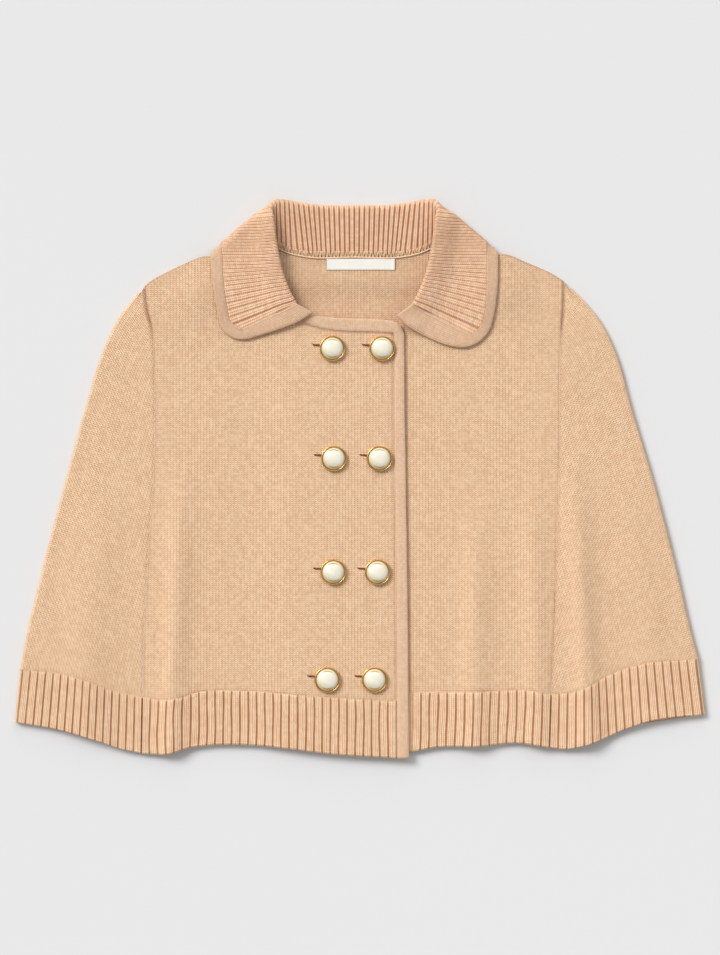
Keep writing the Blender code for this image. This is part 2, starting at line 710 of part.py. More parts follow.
def fall_edge(side, ribs):
    """Read where the ribs end, with the fall folded out flat on the front."""
    columns = slice(0, 2) if side < 0 else slice(2, 4)
    return smooth(FALL_EDGE, ribs)[:, columns]


def on_front(ribs):
    """Share of the fall that lies on the front in place of behind the neck."""
    return ramp((ribs - ROUND_NECK[0]) / (ROUND_NECK[1] - ROUND_NECK[0]))


def fall_path(side, ribs, reaches):
    """Give the fall's middle surface, as (out, y, z), at shares of its width from the roll."""
    roll, roll_z, _ = collar_rows(ribs)
    edge = fall_edge(side, ribs)
    flat = roll[:, None] + reaches[None, :, None] * (edge - roll)[:, None]
    distance = np.linalg.norm(flat - roll[:, None], axis=2)
    lie = cover_top(side * flat[..., 0], flat[..., 1]) + COLLAR_COVER + COLLAR_WALL / 2
    start = np.maximum(roll_z[:, None] + ROLL_RADIUS - lie, 0.0)
    top = lie + start * (1 - ramp(distance / SETTLE))
    front = fold_under(flat, top)

    hanging = np.zeros_like(front)
    hanging[..., 0] = roll[:, None, 0]
    hanging[..., 1] = roll[:, None, 1] - reaches[None, :] * BACK_FALL
    depth = np.maximum(roll_z[:, None] - ROLL_RADIUS, FLOOR_MIDDLE)
    hanging[..., 2] = FLOOR_MIDDLE + (depth - FLOOR_MIDDLE) * (1 - ramp(reaches * 2.5))
    share = on_front(ribs)[:, None, None]
    return hanging * (1 - share) + front * share


def middle_of_collar(side, ribs):
    """Give the collar's middle surface on one half, from the neck seam to the fall's edge."""
    roll, roll_z, seam = collar_rows(ribs)
    apex = np.column_stack([roll, roll_z])
    front_share = ramp((ribs - 17.0) / 5.0)
    at_back = back_top(side * seam[:, 0], seam[:, 1])
    panel_top = under_top if side > 0 else over_top
    at_front = panel_top(side * seam[:, 0], seam[:, 1])
    level = at_back * (1 - front_share) + at_front * front_share - WALL / 2
    start = np.column_stack([seam, level])
    inward = apex - start
    inward /= np.linalg.norm(inward, axis=1, keepdims=True)
    start = start + inward * (0.35 + 2.2 * ramp((ribs - 12.0) / 5.0))[:, None]

    fall = fall_path(side, ribs, np.array(FALL_REACHES))
    first = fall[:, 1]
    from_seam = (apex - start) / np.linalg.norm(apex - start, axis=1, keepdims=True)
    from_fall = (apex - first) / np.linalg.norm(apex - first, axis=1, keepdims=True)
    forward = from_seam + from_fall
    forward /= np.linalg.norm(forward, axis=1, keepdims=True)
    across = from_seam - from_fall
    across -= (across * forward).sum(axis=1, keepdims=True) * forward
    across /= np.linalg.norm(across, axis=1, keepdims=True)
    stand_end = apex - forward * ROLL_RADIUS - across * ROLL_RADIUS
    fall_start = apex - forward * ROLL_RADIUS + across * ROLL_RADIUS
    stand_end, fall_start = order_roll(stand_end, fall_start, start, first)
    middle = start + 0.5 * (stand_end - start)
    fall[:, 0] = fall_start
    return np.concatenate([start[:, None], middle[:, None], stand_end[:, None], apex[:, None],
                           fall], axis=1)


def order_roll(one, other, start, first):
    """Put the roll's two feet on the sides of the stand and of the fall."""
    straight = (np.linalg.norm(one - start, axis=1) + np.linalg.norm(other - first, axis=1))
    crossed = (np.linalg.norm(other - start, axis=1) + np.linalg.norm(one - first, axis=1))
    swap = (crossed < straight)[:, None]
    return np.where(swap, other, one), np.where(swap, one, other)


def normals_of(grid):
    """Unit normals of a surface grid."""
    across = np.gradient(grid, axis=1)
    along = np.gradient(grid, axis=0)
    normal = np.cross(across, along)
    return normal / np.linalg.norm(normal, axis=2, keepdims=True)


def build_collar():
    """Make the ribbed collar: stand and fall in one strip, ribs on the face that shows."""
    numbers, stations = np.array(RIB_SPACING).T
    ribs = np.interp(np.linspace(0.0, numbers[-1], int(2 * numbers[-1]) + 1), numbers, stations)
    halves = []
    for side in (-1, 1):
        middle = middle_of_collar(side, ribs)
        middle[..., 0] *= side
        halves.append(middle)
    grid = np.concatenate([halves[0][::-1], halves[1][1:]], axis=0)
    normal = -normals_of(grid)
    ridge = np.where(np.arange(len(grid)) % 2 == 1, COLLAR_RELIEF, 0.0)[:, None]
    shown = np.where(grid[..., 2] < PLAIN_BELOW, 0.0, 1.0)
    outer = grid + normal * (COLLAR_WALL / 2 + ridge * shown)[..., None]
    inner = grid - normal * (COLLAR_WALL / 2)
    outer[..., 2] = np.maximum(outer[..., 2], 0.0)
    inner[..., 2] = np.maximum(inner[..., 2], 0.0)
    inner = inner[::COLLAR_COARSE]
    return walled("collar", outer.transpose(1, 0, 2), inner.transpose(1, 0, 2), "collar_rib")


TRIM_STATIONS = np.concatenate([[0.0, 5.0, 9.0, 12.0], np.arange(13.5, 21.0, 1.5),
                                np.arange(21.0, 31.0), [32.0, 34.0]])
TRIM_STEPS = np.concatenate([np.arange(36.0, 42.6, 0.5), [43.0, 44.0, 45.0, 46.0]])
TRIM_GAP = 0.5
TRIM_GAP_AT_FOLD = 1.3
TRIM_GAP_AT_ROLL = 1.8
# The trim's section from the ribs out: share of its width, and of its half thickness
TRIM_SECTION = [(0.0, 0.75), (0.5, 1.0), (0.85, 0.85), (1.0, 0.35)]


def trim_half(side, table):
    """Give the trim's inner and outer lines on one half, from the centre back to the front."""
    roll, _, _ = collar_rows(TRIM_STATIONS)
    edge = fall_edge(side, TRIM_STATIONS)
    share = on_front(TRIM_STATIONS)
    widths = np.linalg.norm(edge - roll, axis=1) * share + BACK_FALL * (1 - share)
    strip = []
    for station, width in zip(TRIM_STATIONS, widths):
        gap = TRIM_GAP_AT_FOLD if 18.0 < station < 29.0 else TRIM_GAP
        reaches = np.array([1 + gap / width, 1 + TRIM_WIDTH / width])
        strip.append(fall_path(side, np.array([station]), reaches)[0])

    outline = smooth(table, TRIM_STEPS)
    far = outline[:, 0:2]
    near = fall_edge(side, TRIM_STEPS)
    roll_end, _, _ = collar_rows(np.array([float(RIBS_HALF)]))
    edge_end = fall_edge(side, np.array([float(RIBS_HALF)]))
    past = (TRIM_STEPS > RIBS_HALF)[:, None]
    along_end = roll_end + outline[:, 2:3] * (edge_end - roll_end)
    near = np.where(past, along_end, near)
    across = far - near
    gap = TRIM_GAP + (TRIM_GAP_AT_ROLL - TRIM_GAP) * ramp((TRIM_STEPS - 43.0) / 2.0)
    near = near + gap[:, None] * across / np.linalg.norm(across, axis=1, keepdims=True)
    plan = np.stack([near, far], axis=1)
    lie = cover_top(side * plan[..., 0], plan[..., 1]) + COLLAR_COVER + COLLAR_WALL / 2
    strip = np.concatenate([np.stack(strip), np.dstack([plan, lie])], axis=0)
    strip[..., 0] *= side
    return strip


def build_trim():
    """Make the plain strip round the collar's outer edge and its two front ends."""
    right = trim_half(-1, RIGHT_TRIM)
    left = trim_half(1, LEFT_TRIM)
    strip = np.concatenate([right[::-1], left[1:]], axis=0)
    near, far = strip[:, :1], strip[:, 1:]
    section = np.array(TRIM_SECTION)
    middle = near + section[None, :, :1] * (far - near)
    offset = normals_of(middle) * (TRIM_WALL / 2 * section[:, 1])[None, :, None]
    outer, inner = middle + offset, middle - offset
    outer[..., 2] = np.maximum(outer[..., 2], 0.0)
    inner[..., 2] = np.maximum(inner[..., 2], 0.0)
    return walled("collar_trim", outer, inner, "band_knit")


def build_label():
    """Make the bare label on the inside of the back, just below the neck seam."""
    x, y = LABEL_CENTRE
    wide, deep, thick = LABEL_SIZE
    plan = np.array([[(x + i * wide / 2, y + j * deep / 2) for i in (-1, 1)] for j in (-1, 1)])
    bottom = WALL + NECK_LIFT + LAYER_GAP
    return walled("neck_label", raised(plan, bottom + thick), raised(plan, bottom), "label_satin")


# Buttons

def turned(name, profile, centre, finish):
    """Turn a closed half profile of radius and height round an upright axis."""
    points, faces, rings = [], [], []
    for radius, height in profile:
        if radius == 0.0:
            rings.append([len(points)] * BUTTON_SIDES)
            points.append((*centre, height))
            continue
        rings.append(list(range(len(points), len(points) + BUTTON_SIDES)))
        for k in range(BUTTON_SIDES):
            angle = 2 * math.pi * k / BUTTON_SIDES
            points.append((centre[0] + radius * math.cos(angle),
                           centre[1] + radius * math.sin(angle), height))
    for low, high in zip(rings, rings[1:]):
        for k in range(BUTTON_SIDES):
            n = (k + 1) % BUTTON_SIDES
            corners = [low[k], low[n], high[n], high[k]]
            face = [c for i, c in enumerate(corners) if c not in corners[:i]]
            faces.append(tuple(face))
    made = solid(name, points, faces, finish)
    made.data.shade_smooth()
    made.data.set_sharp_from_angle(angle=math.radians(35))
    return made


def build_button(name, x, y):
    """Make one button: a metal cup with its shank, sewn to the underlap, and a pearl dome."""
    foot = under_top(x, y) + LAYER_GAP
    seat = over_top(x, y) + BUTTON_LIFT
    cup = [(0.0, foot), (SHANK_RADIUS, foot), (SHANK_RADIUS, seat), (BUTTON_RADIUS - 1.2, seat),
           (BUTTON_RADIUS, seat + 0.9), (BUTTON_RADIUS, seat + 2.0),
           (BUTTON_RADIUS - 0.6, seat + 2.5), (PEARL_RADIUS + 0.3, seat + 2.1),
           (PEARL_RADIUS + 0.3, seat + 1.1), (0.0, seat + 1.1)]
    turned(f"{name}_rim", cup, (x, y), "gold")
    low = seat + 1.1 + LAYER_GAP
    dome = [(0.0, low), (PEARL_RADIUS, low)]
    for degrees in (25, 50, 72):
        angle = math.radians(degrees)
        dome.append((PEARL_RADIUS * math.cos(angle), low + PEARL_HEIGHT * math.sin(angle)))
    dome.append((0.0, low + PEARL_HEIGHT))
    turned(f"{name}_pearl", dome, (x, y), "pearl")


def centre_on_origin():
    """Move everything so that the middle of the garment's box stands over the origin."""
    shown = [made for made in bpy.data.objects if not made.hide_render]
    spots = np.array([made.matrix_world @ v.co for made in shown for v in made.data.vertices])
    low, high = spots.min(axis=0), spots.max(axis=0)
    shift = np.array([-(low[0] + high[0]) / 2, -(low[1] + high[1]) / 2, -low[2]])
    for made in bpy.data.objects:
        for vertex in made.data.vertices:
            vertex.co = vertex.co + type(vertex.co)(shift)


def main():
    """Build the whole garment."""
    for old in list(bpy.data.objects):
        bpy.data.objects.remove(old)
    build_back()
    build_left_front()
    build_right_front()
    build_front_band()
    build_side("right", RIGHT_SEAM, RIGHT_EDGE, RIGHT_SIDE_RIB, RIGHT_SIDE_HEM, 16)
    build_side("left", LEFT_SEAM, LEFT_EDGE, LEFT_SIDE_RIB, LEFT_SIDE_HEM, 18)
    build_collar()
    build_trim()
    build_label()
    for row, (y, right_x, left_x) in enumerate(BUTTON_ROWS, start=1):
        build_button(f"button_right_{row}", right_x, y)
        build_button(f"button_left_{row}", left_x, y)
    centre_on_origin()


main()
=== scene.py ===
"""Looks of a knitted, double-breasted capelet laid flat and buttoned.

Each sub-assembly is a class that builds its pieces and dresses them; each finish is a frozen
dataclass that makes one material. The garment's plan is drawn in millimetres, X across from the
centre front, Y from the hem to the collar and Z up, and moved onto the frame at the end.
"Right" and "left" are the wearer's: the right front lies at -X and on top.
"""

import functools
import logging
import math
from dataclasses import dataclass, field
from enum import Enum
from typing import Callable, Optional, Sequence

import bmesh
import bpy
import numpy as np
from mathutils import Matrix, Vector

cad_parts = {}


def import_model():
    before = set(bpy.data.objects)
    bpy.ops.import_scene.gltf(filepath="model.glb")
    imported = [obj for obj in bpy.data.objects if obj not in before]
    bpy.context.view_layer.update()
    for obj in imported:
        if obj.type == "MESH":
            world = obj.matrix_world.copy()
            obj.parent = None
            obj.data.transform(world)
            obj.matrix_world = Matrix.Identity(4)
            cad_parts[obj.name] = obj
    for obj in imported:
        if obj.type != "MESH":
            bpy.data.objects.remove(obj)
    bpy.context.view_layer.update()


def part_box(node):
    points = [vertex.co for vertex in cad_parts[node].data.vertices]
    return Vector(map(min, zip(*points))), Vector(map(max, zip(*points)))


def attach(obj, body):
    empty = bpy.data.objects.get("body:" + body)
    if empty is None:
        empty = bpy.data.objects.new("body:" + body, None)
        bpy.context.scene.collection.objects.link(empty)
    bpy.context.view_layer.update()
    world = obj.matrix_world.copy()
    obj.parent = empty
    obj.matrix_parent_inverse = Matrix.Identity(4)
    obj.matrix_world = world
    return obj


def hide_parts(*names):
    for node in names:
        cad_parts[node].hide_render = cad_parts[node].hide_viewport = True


LOG = logging.getLogger("capelet")

Array = np.ndarray
Pair = tuple[float, float]
Piece = bpy.types.Object
Material = bpy.types.Material
Curve = Callable[[Array], Array]
Height = Callable[[Array, Array], Array]

MM = 0.001

# Cloth
WALL = 2.2
SEAM = 0.3
LAYER_GAP = 0.3
WALE = 2.6
COURSE = 1.8
BAND_WALE = 1.9
TRIM_WALE = 1.6
BAND_COURSE = 1.5
RIB_RISE = 1.25
RIB_SINK = 0.55
# A thread's thickness along its stitches: its middle, and how much it swells
THREAD_SWELL = (0.86, 0.14)
BAND_RISE = 0.8

# Where the right front overlaps the left one
UNDERLAP_EDGE = -48.0
OVERLAP_STEP = 2.8
OVERLAP_SLOPE = 45.0
# The collar steps up over the overlap: from x and over what width, then down from x, and over what
COVER_STEP = (-93.0, 40.0, 46.0, 16.0)

# The collar's fall passes under the back of the neck and lifts it
NECK_LIFT = 2.8
# Where the lift begins up the garment and over what length, and how far out it ends, and over what
BACK_LIFT = (156.0, 18.0, 152.0, 22.0)
FRONT_LIFT = (125.0, 43.0, 168.0, 38.0)
FRONT_LIFT_MORE = 0.5
BODY_PUFF = 1.2
PUFF_REACH = 22.0
SHOULDER_SLOPE = 0.45
NECK_POINT = (84.0, 212.0)
NECK_POINT_RIGHT = (-84.0, 212.0)

# Collar
COLLAR_WALL = 2.0
ROLL_RADIUS = 1.9
STAND_ROWS = 12
BEND_ROWS = 9
TRIM_WIDTH = 9.7
TRIM_WALL = 2.9
BACK_FALL = 46.0
FLOOR_MIDDLE = 1.2
FOLD_CORNER = (76.2, 242.0)
FOLD_END = (124.6, 200.6)
RIBS_HALF = 41
# The ribs are closer on the fall: rib number from the centre back, and its station on the tables
RIB_SPACING = [(0.0, 0.0), (20.0, 20.0), (47.0, RIBS_HALF)]
COLLAR_COVER = 1.1
# Ribs between which the fall turns from hanging behind the neck to lying on the front
ROUND_NECK = (12.0, 19.0)

# The side seams deepen near the shoulder: from what y, and over what length
SEAM_DEEPENS = (118.0, 22.0)

# Buttons
BUTTON_LIFT = 0.5
BUTTON_RADIUS = 11.25
PEARL_RADIUS = 9.8
PEARL_HEIGHT = 4.4
SHANK_RADIUS = 1.5
CUP_DEPTH = 2.5
CUP_FLOOR = 1.1
CUP_BEVEL = 0.14
FOOT_EDGE = 0.3
# How the cup's top face steps in towards the pearl: each step's way in and its rise
CUP_STEPS = [(0.35, 0.25), (0.5, 0.0), (0.3, -0.35), (0.06, -1.0)]

# Label
LABEL_SIZE = (60.0, 9.6, 0.6)
LABEL_CENTRE = (5.4, 187.6)

# Plan lines, each row an x and a y
RIGHT_EDGE = [(-189.3, 164.1), (-208.2, 139.0), (-224.0, 103.8), (-234.6, 68.6), (-254.0, -1.8),
              (-272.4, -72.2), (-289.2, -142.6), (-294.0, -168.1)]
LEFT_EDGE = [(189.1, 168.1), (201.0, 156.6), (215.1, 139.0), (231.8, 103.8), (241.5, 68.6),
             (262.6, -1.8), (281.1, -72.2), (297.8, -142.6), (302.2, -158.4)]
RIGHT_SEAM = [(-184.6, 168.4), (-183.0, 150.5), (-178.4, 131.1), (-176.0, 95.0), (-175.6, 24.6),
              (-181.4, -72.2), (-185.7, -160.2), (-186.2, -192.7)]
LEFT_SEAM = [(184.2, 172.6), (183.4, 150.5), (181.0, 117.0), (179.9, 24.6), (177.2, -72.2),
             (174.2, -151.4), (172.6, -190.1)]
RIGHT_SHOULDER = [(-184.6, 168.4), (-178.0, 173.8), (-167.7, 179.5), (-144.9, 190.1),
                  (-136.0, 193.6), (-129.5, 194.7), (-122.0, 194.0), (-114.0, 196.6),
                  (-104.0, 201.6), NECK_POINT_RIGHT]
LEFT_SHOULDER = [(184.2, 172.6), (174.6, 179.0), (162.3, 184.8), (149.0, 190.2), (137.6, 195.0),
                 (130.0, 196.6), (122.0, 195.0), (114.0, 197.0), (103.0, 202.6), NECK_POINT]
FRONT_NECK = [NECK_POINT, (83.4, 200.0), (82.0, 186.0), (77.4, 172.0), (68.6, 160.0),
              (58.0, 149.8)]
BACK_NECK = [NECK_POINT_RIGHT, (-72.0, 203.5), (-58.0, 197.0), (-44.0, 193.8), (0.0, 193.2),
             (44.0, 193.8), (58.0, 197.0), (72.0, 203.5), NECK_POINT]
RIGHT_SIDE_RIB = [(-186.2, -192.7), (-215.2, -185.7), (-237.2, -177.8), (-259.2, -171.6),
                  (-294.0, -168.1)]
LEFT_SIDE_RIB = [(172.6, -190.1), (198.4, -185.7), (216.0, -176.9), (233.6, -169.0),
                 (260.0, -161.9), (302.2, -158.4)]
RIGHT_FRONT_RIB = [(-186.2, -192.7), (-171.2, -194.5), (-153.6, -192.7), (-136.0, -187.4),
                   (-100.8, -186.6), (-30.4, -191.8), (36.9, -195.4)]
LEFT_FRONT_RIB = [(48.8, -188.3), (110.4, -187.4), (154.4, -186.6), (172.6, -190.1)]
RIGHT_SIDE_HEM = [(-187.1, -242.0), (-204.6, -238.5), (-225.8, -231.4), (-259.2, -221.8),
                  (-298.8, -214.7)]
LEFT_SIDE_HEM = [(171.1, -236.6), (186.0, -238.5), (196.6, -236.7), (217.8, -229.7),
                 (238.9, -220.9), (260.0, -213.8), (308.4, -207.7)]
RIGHT_FRONT_HEM = [(-187.1, -242.0), (-162.4, -242.0), (-148.4, -237.6), (-130.8, -235.0),
                   (-92.0, -234.5), (-56.8, -237.6), (-21.6, -242.0), (37.0, -245.7)]
LEFT_FRONT_HEM = [(48.8, -240.2), (69.9, -236.7), (110.4, -235.4), (143.8, -232.8),
                  (171.1, -236.6)]

# The front band's two edges, with their corner
NECKBAND_CORNER = (34.3, 126.5)
NECKBAND_TOP = [(-56.0, 148.0), (-36.0, 142.6), (-24.0, 141.0), (-6.0, 139.9), (24.0, 139.0)]
NECKBAND_SEAM = [(-58.0, 138.5), (-38.7, 133.3), (-24.0, 130.1), (-6.0, 128.4), (12.0, 128.0),
                 (24.0, 127.4)]
# The band's edge and seam below the corner, each row a y and an x
BAND_EDGE_X = [(127.0, 43.4), (68.6, 44.0), (-107.4, 46.5), (-246.0, 47.8)]
BAND_SEAM_X = [(119.0, 34.4), (68.6, 34.4), (-107.4, 36.4), (-245.7, 37.0)]
# The corner: outer x and y, inner x and y
BAND_CORNER = [(24.0, 139.0, 24.0, 127.4), (33.5, 137.4, 29.5, 127.0), (40.4, 133.6, 34.3, 126.5),
               (43.4, 127.0, 34.4, 119.0)]
# Where the collar's two tips cross the band: middles of the painted shade beneath them
TIP_SHADOW_SPOT = (43.5, 132.5)
RIGHT_TIP_SHADOW_SPOT = (-43.3, 134.5)

# Soft folds of the fronts and sides, each running up from the hem:
# x at the hem, x at the top, y where it starts, half width, height
FOLDS = [
    (-238.0, -224.0, 30.0, 22.0, 3.2),
    (-160.0, -151.0, 46.0, 11.0, 4.8),
    (106.0, 106.0, 0.0, 12.0, 4.4),
    (161.0, 155.0, 51.0, 11.0, 3.6),
    (207.0, 190.0, 50.0, 11.5, 5.6),
    (268.8, 236.0, 40.0, 26.0, 2.0),
]
HEM_LEVEL = -240.0

# The collar's roll line and neck seam on one half, from the centre back:
# rib number, roll out, roll y, roll z, seam out, seam y
ROLL = [
    (0.0, 0.0, 238.6, 3.0, 0.0, 193.2),
    (6.6, 30.0, 239.0, 3.0, 27.0, 193.3),
    (11.0, 50.0, 241.4, 4.2, 44.0, 193.8),
    (13.6, 61.0, 243.4, 6.5, 58.0, 197.0),
    (15.6, 69.0, 243.2, 10.0, 66.5, 200.4),
    (17.4, 73.0, 238.0, 13.5, 73.5, 204.6),
    (19.4, 71.8, 229.4, 16.0, 80.0, 209.6),
    (22.0, 70.4, 220.0, 17.0, 84.4, 211.0),
    (27.0, 68.2, 203.4, 17.0, 85.4, 198.0),
    (32.0, 64.8, 186.0, 16.0, 83.0, 184.0),
    (36.0, 61.0, 173.0, 14.5, 78.4, 172.6),
    (39.0, 56.0, 161.0, 13.0, 69.6, 160.0),
    (41.0, 51.2, 152.8, 12.0, 60.6, 151.4),
]

# The line between the ribbed fall and its trim, with the fall folded out flat on the front:
# rib number, right side x out, right side y, left side x out, left side y
FALL_EDGE = [
    (15.0, 116.7, 242.0, 116.7, 242.0),
    (22.0, 116.7, 220.0, 116.7, 220.0),
    (29.0, 116.6, 196.6, 116.4, 196.6),
    (33.0, 116.2, 180.0, 116.4, 180.0),
    (36.0, 115.0, 165.0, 116.2, 162.0),
    (38.5, 112.0, 148.0, 114.6, 144.0),
    (40.0, 108.6, 136.0, 111.0, 132.6),
    (41.0, 99.0, 130.2, 102.6, 125.4),
]

# The trim's outer edge beside the same ribs and on round the tip to the collar's front end:
# step, right side x out, right side y, left side x out, left side y, and how far the step has
# come back along the end of the ribs
TRIM_EDGE = [
    (36.0, 123.6, 164.0, 125.0, 161.0, 1.0),
    (38.5, 120.4, 145.0, 122.0, 141.0, 1.0),
    (40.0, 116.0, 130.0, 117.4, 127.6, 1.0),
    (41.0, 107.0, 123.0, 108.6, 118.6, 1.0),
    (42.0, 95.6, 121.4, 96.3, 114.4, 0.97),
    (43.0, 79.7, 125.8, 80.0, 116.6, 0.70),
    (44.0, 62.0, 131.4, 62.0, 124.0, 0.40),
    (45.0, 49.6, 136.4, 47.0, 132.4, 0.17),
    (46.0, 36.1, 144.6, 36.6, 142.4, 0.0),
]

# Rows of buttons: y, right column x, left column x
BUTTON_ROWS = [
    (113.5, -19.4, 24.1),
    (17.0, -18.1, 21.9),
    (-82.5, -18.6, 20.2),
    (-176.9, -23.8, 17.5),
]
# Half outline of a buttonhole from its outer end to past the shank: along, half width
BUTTONHOLE = [(-17.5, 0.6), (-16.0, 1.2), (-11.5, 1.5), (-3.0, 2.2), (1.2, 2.2), (2.8, 0.7)]
BUTTONHOLE_RISE = 3.5

# The underlap: its neck edge, the start of its hem's top line and the hidden start of its hem
UNDERLAP_NECK = [(UNDERLAP_EDGE, 122.0), (0.0, 121.0), (30.0, 124.0), (44.0, 136.0)]
UNDERLAP_RIB = (UNDERLAP_EDGE, -186.0)
UNDERLAP_HEM = [(UNDERLAP_EDGE, -231.0), (20.0, -236.0)]
# How much higher the back's hem ends than the front's
BACK_HEM_SHORTER = 8.0


class Side(Enum):
    """A wearer's side of the garment, as the sign of X there."""

    RIGHT = -1
    LEFT = 1

    def columns(self) -> slice:
        """Give this side's two columns in a table of both sides."""
        return slice(0, 2) if self is Side.RIGHT else slice(2, 4)


class Finish(Enum):
    """The garment's finishes, each under its material slot."""

    KNIT = "knit"
    RIB = "rib_knit"
    BAND = "band_knit"
    COLLAR = "collar_rib"
    LABEL = "label_satin"
    GOLD = "gold"
    PEARL = "pearl"


# Curves and ramps


def ramp(value: Array) -> Array:
    """Rise smoothly from 0 to 1 as the value goes from 0 to 1."""
    value = np.clip(value, 0.0, 1.0)
    return value * value * (3.0 - 2.0 * value)


def bell(value: Array) -> Array:
    """A smooth hump of height 1 round a value of 0."""
    return np.exp(-np.square(value))


def smooth(rows: Sequence, at: Array) -> Array:
    """Read a table on a cubic curve through its columns.

    Args:
        rows: The table, whose first column is the place.
        at: The places to read.

    Returns:
        One row of the other columns for each place.
    """
    rows = np.asarray(rows, float)
    places, values = rows[:, 0], rows[:, 1:]
    slopes = np.gradient(values, places, axis=0)
    at = np.clip(np.atleast_1d(np.asarray(at, float)), places[0], places[-1])
    low = np.clip(np.searchsorted(places, at) - 1, 0, len(places) - 2)
    span = (places[low + 1] - places[low])[:, None]
    t = (at - places[low])[:, None] / span
    start = (1 + 2 * t) * (1 - t) ** 2 * values[low] + t * (1 - t) ** 2 * span * slopes[low]
    end = t * t * (3 - 2 * t) * values[low + 1] - t * t * (1 - t) * span * slopes[low + 1]
    return start + end


def run_of(points: Array, axis: int = 0) -> Array:
    """Give the length up to each point of a line, or across a grid where the axis is 1."""
    steps = np.linalg.norm(np.diff(points, axis=axis), axis=-1)
    return np.insert(np.cumsum(steps, axis=axis), 0, 0.0, axis=axis)


def unit(vectors: Array) -> Array:
    """Give vectors a length of 1."""
    return vectors / np.linalg.norm(vectors, axis=-1, keepdims=True)


def line(points: Sequence) -> Curve:
    """Make a line that is read by the share of its length.

    Args:
        points: Points of the line in order.

    Returns:
        The line, which gives a row of coordinates for each share.
    """
    points = np.asarray(points, float)
    lengths = run_of(points)
    rows = np.column_stack([lengths / lengths[-1], points])
    return lambda share: smooth(rows, share)


def stitched(wales: Array, courses: Array) -> Array:
    """Pair wales and courses into the stitches of a grid."""
    return np.stack(np.broadcast_arrays(wales, courses), axis=-1)


def chain(*parts: tuple[float, Curve]) -> Curve:
    """Join lines that meet at corners.

    Args:
        parts: For each line its share of the whole and the line.

    Returns:
        One line, read by its share.
    """
    def read(share: Array) -> Array:
        """Read the joined line.

        Args:
            share: Shares of the joined line.

        Returns:
            A point for each share.
        """
        share = np.atleast_1d(share)
        result = np.zeros((len(share), 2))
        start = 0.0
        for part, curve in parts:
            inside = (share >= start - 1e-9) & (share <= start + part + 1e-9)
            result[inside] = curve(np.clip((share[inside] - start) / part, 0.0, 1.0))
            start += part
        return result
    return read


def patch(bottom: Curve, top: Curve, left: Curve, right: Curve, across: Array,
          up: Array) -> Array:
    """Fill four plan lines with a grid.

    Args:
        bottom: The lower line, read across.
        top: The upper line, read across.
        left: The line on the side where across is 0, read up.
        right: The line on the side where across is 1, read up.
        across: Shares for the columns.
        up: Shares for the rows.

    Returns:
        Points by row and column.
    """
    low, high = bottom(across), top(across)
    near, far = left(up), right(up)
    a = across[None, :, None]
    u = up[:, None, None]
    ruled = (1 - u) * low[None] + u * high[None]
    sides = (1 - a) * near[:, None] + a * far[:, None]
    corners = ((1 - a) * (1 - u) * low[0] + a * (1 - u) * low[-1]
               + (1 - a) * u * high[0] + a * u * high[-1])
    return ruled + sides - corners


def relaxed(plan: Array, across: Array, up: Array, rounds: int) -> Array:
    """Even out a grid inside its four borders, so that none of its cells folds over.

    Args:
        plan: Points by row and column.
        across: The columns' shares.
        up: The rows' shares.
        rounds: How many times each point moves to between its neighbours.

    Returns:
        The evened points.
    """
    plan = plan.copy()
    before, after = np.diff(across)[None, :-1, None], np.diff(across)[None, 1:, None]
    below, above = np.diff(up)[:-1, None, None], np.diff(up)[1:, None, None]
    across_pull, up_pull = 1 / (before * after), 1 / (below * above)
    for _ in range(rounds):
        between = (plan[1:-1, :-2] * after + plan[1:-1, 2:] * before) / (before + after)
        stacked = (plan[:-2, 1:-1] * above + plan[2:, 1:-1] * below) / (below + above)
        plan[1:-1, 1:-1] = (between * across_pull + stacked * up_pull) / (across_pull + up_pull)
    return plan


def drawn_in(plan: Array, amount: float = SEAM / 2) -> Array:
    """Draw a grid's four borders in, so that neighbours stay a seam's gap apart.

    Args:
        plan: Points by row and column.
        amount: How far, in millimetres.

    Returns:
        The moved points.
    """
    moved = plan.copy()
    for edge, inner in ((0, 1), (-1, -2)):
        moved[edge] += amount * unit(plan[inner] - plan[edge])
        moved[:, edge] += amount * unit(plan[:, inner] - plan[:, edge])
    return moved


def edged(count: int, near: float) -> Array:
    """Space shares evenly from 0 to 1, with a few more beside both ends.

    Args:
        count: How many even steps there are.
        near: The share beside an end that takes the extra places.

    Returns:
        The shares in order.
    """
    extra = near * np.array([0.12, 0.3, 0.55, 0.8])
    return np.unique(np.concatenate([np.linspace(0.0, 1.0, count + 1), extra, 1 - extra]))


def lattice(place: Array) -> Array:
    """Make a repeatable random number from 0 to 1 for each whole number."""
    return np.modf(np.abs(np.sin(place * 12.9898 + 4.137) * 43758.5453))[0]


def drift(place: Array) -> Array:
    """Smooth repeatable noise from -1 to 1 along a line, with a unit's spacing.

    Args:
        place: Places along the line.

    Returns:
        The noise at each place.
    """
    whole = np.floor(place)
    t = ramp(place - whole)
    return 2 * (lattice(whole) * (1 - t) + lattice(whole + 1) * t) - 1


# Heights of the layers


def lifted(x: Array, y: Array, zone: tuple) -> Array:
    """Share of the collar's lift at a place."""
    start, rise, end, fade = zone
    return ramp((y - start) / rise) * ramp((end - abs(x)) / fade)


def back_top(x: Array, y: Array) -> Array:
    """Top of the back, which lies flat but for the neck, where the collar lifts it."""
    return WALL + NECK_LIFT * lifted(x, y, BACK_LIFT)


def folds(x: Array, y: Array) -> Array:
    """Height of the soft folds of the fronts and sides.

    Args:
        x: Places across.
        y: Places up.

    Returns:
        The height there.
    """
    height = 0.0
    for hem_x, top_x, start, half_width, rise in FOLDS:
        down = np.clip((start - y) / (start - HEM_LEVEL), 0.0, 1.1)
        centre = top_x + (hem_x - top_x) * down
        height = height + rise * ramp(down * 2.0) * bell((x - centre) / half_width)
    return height


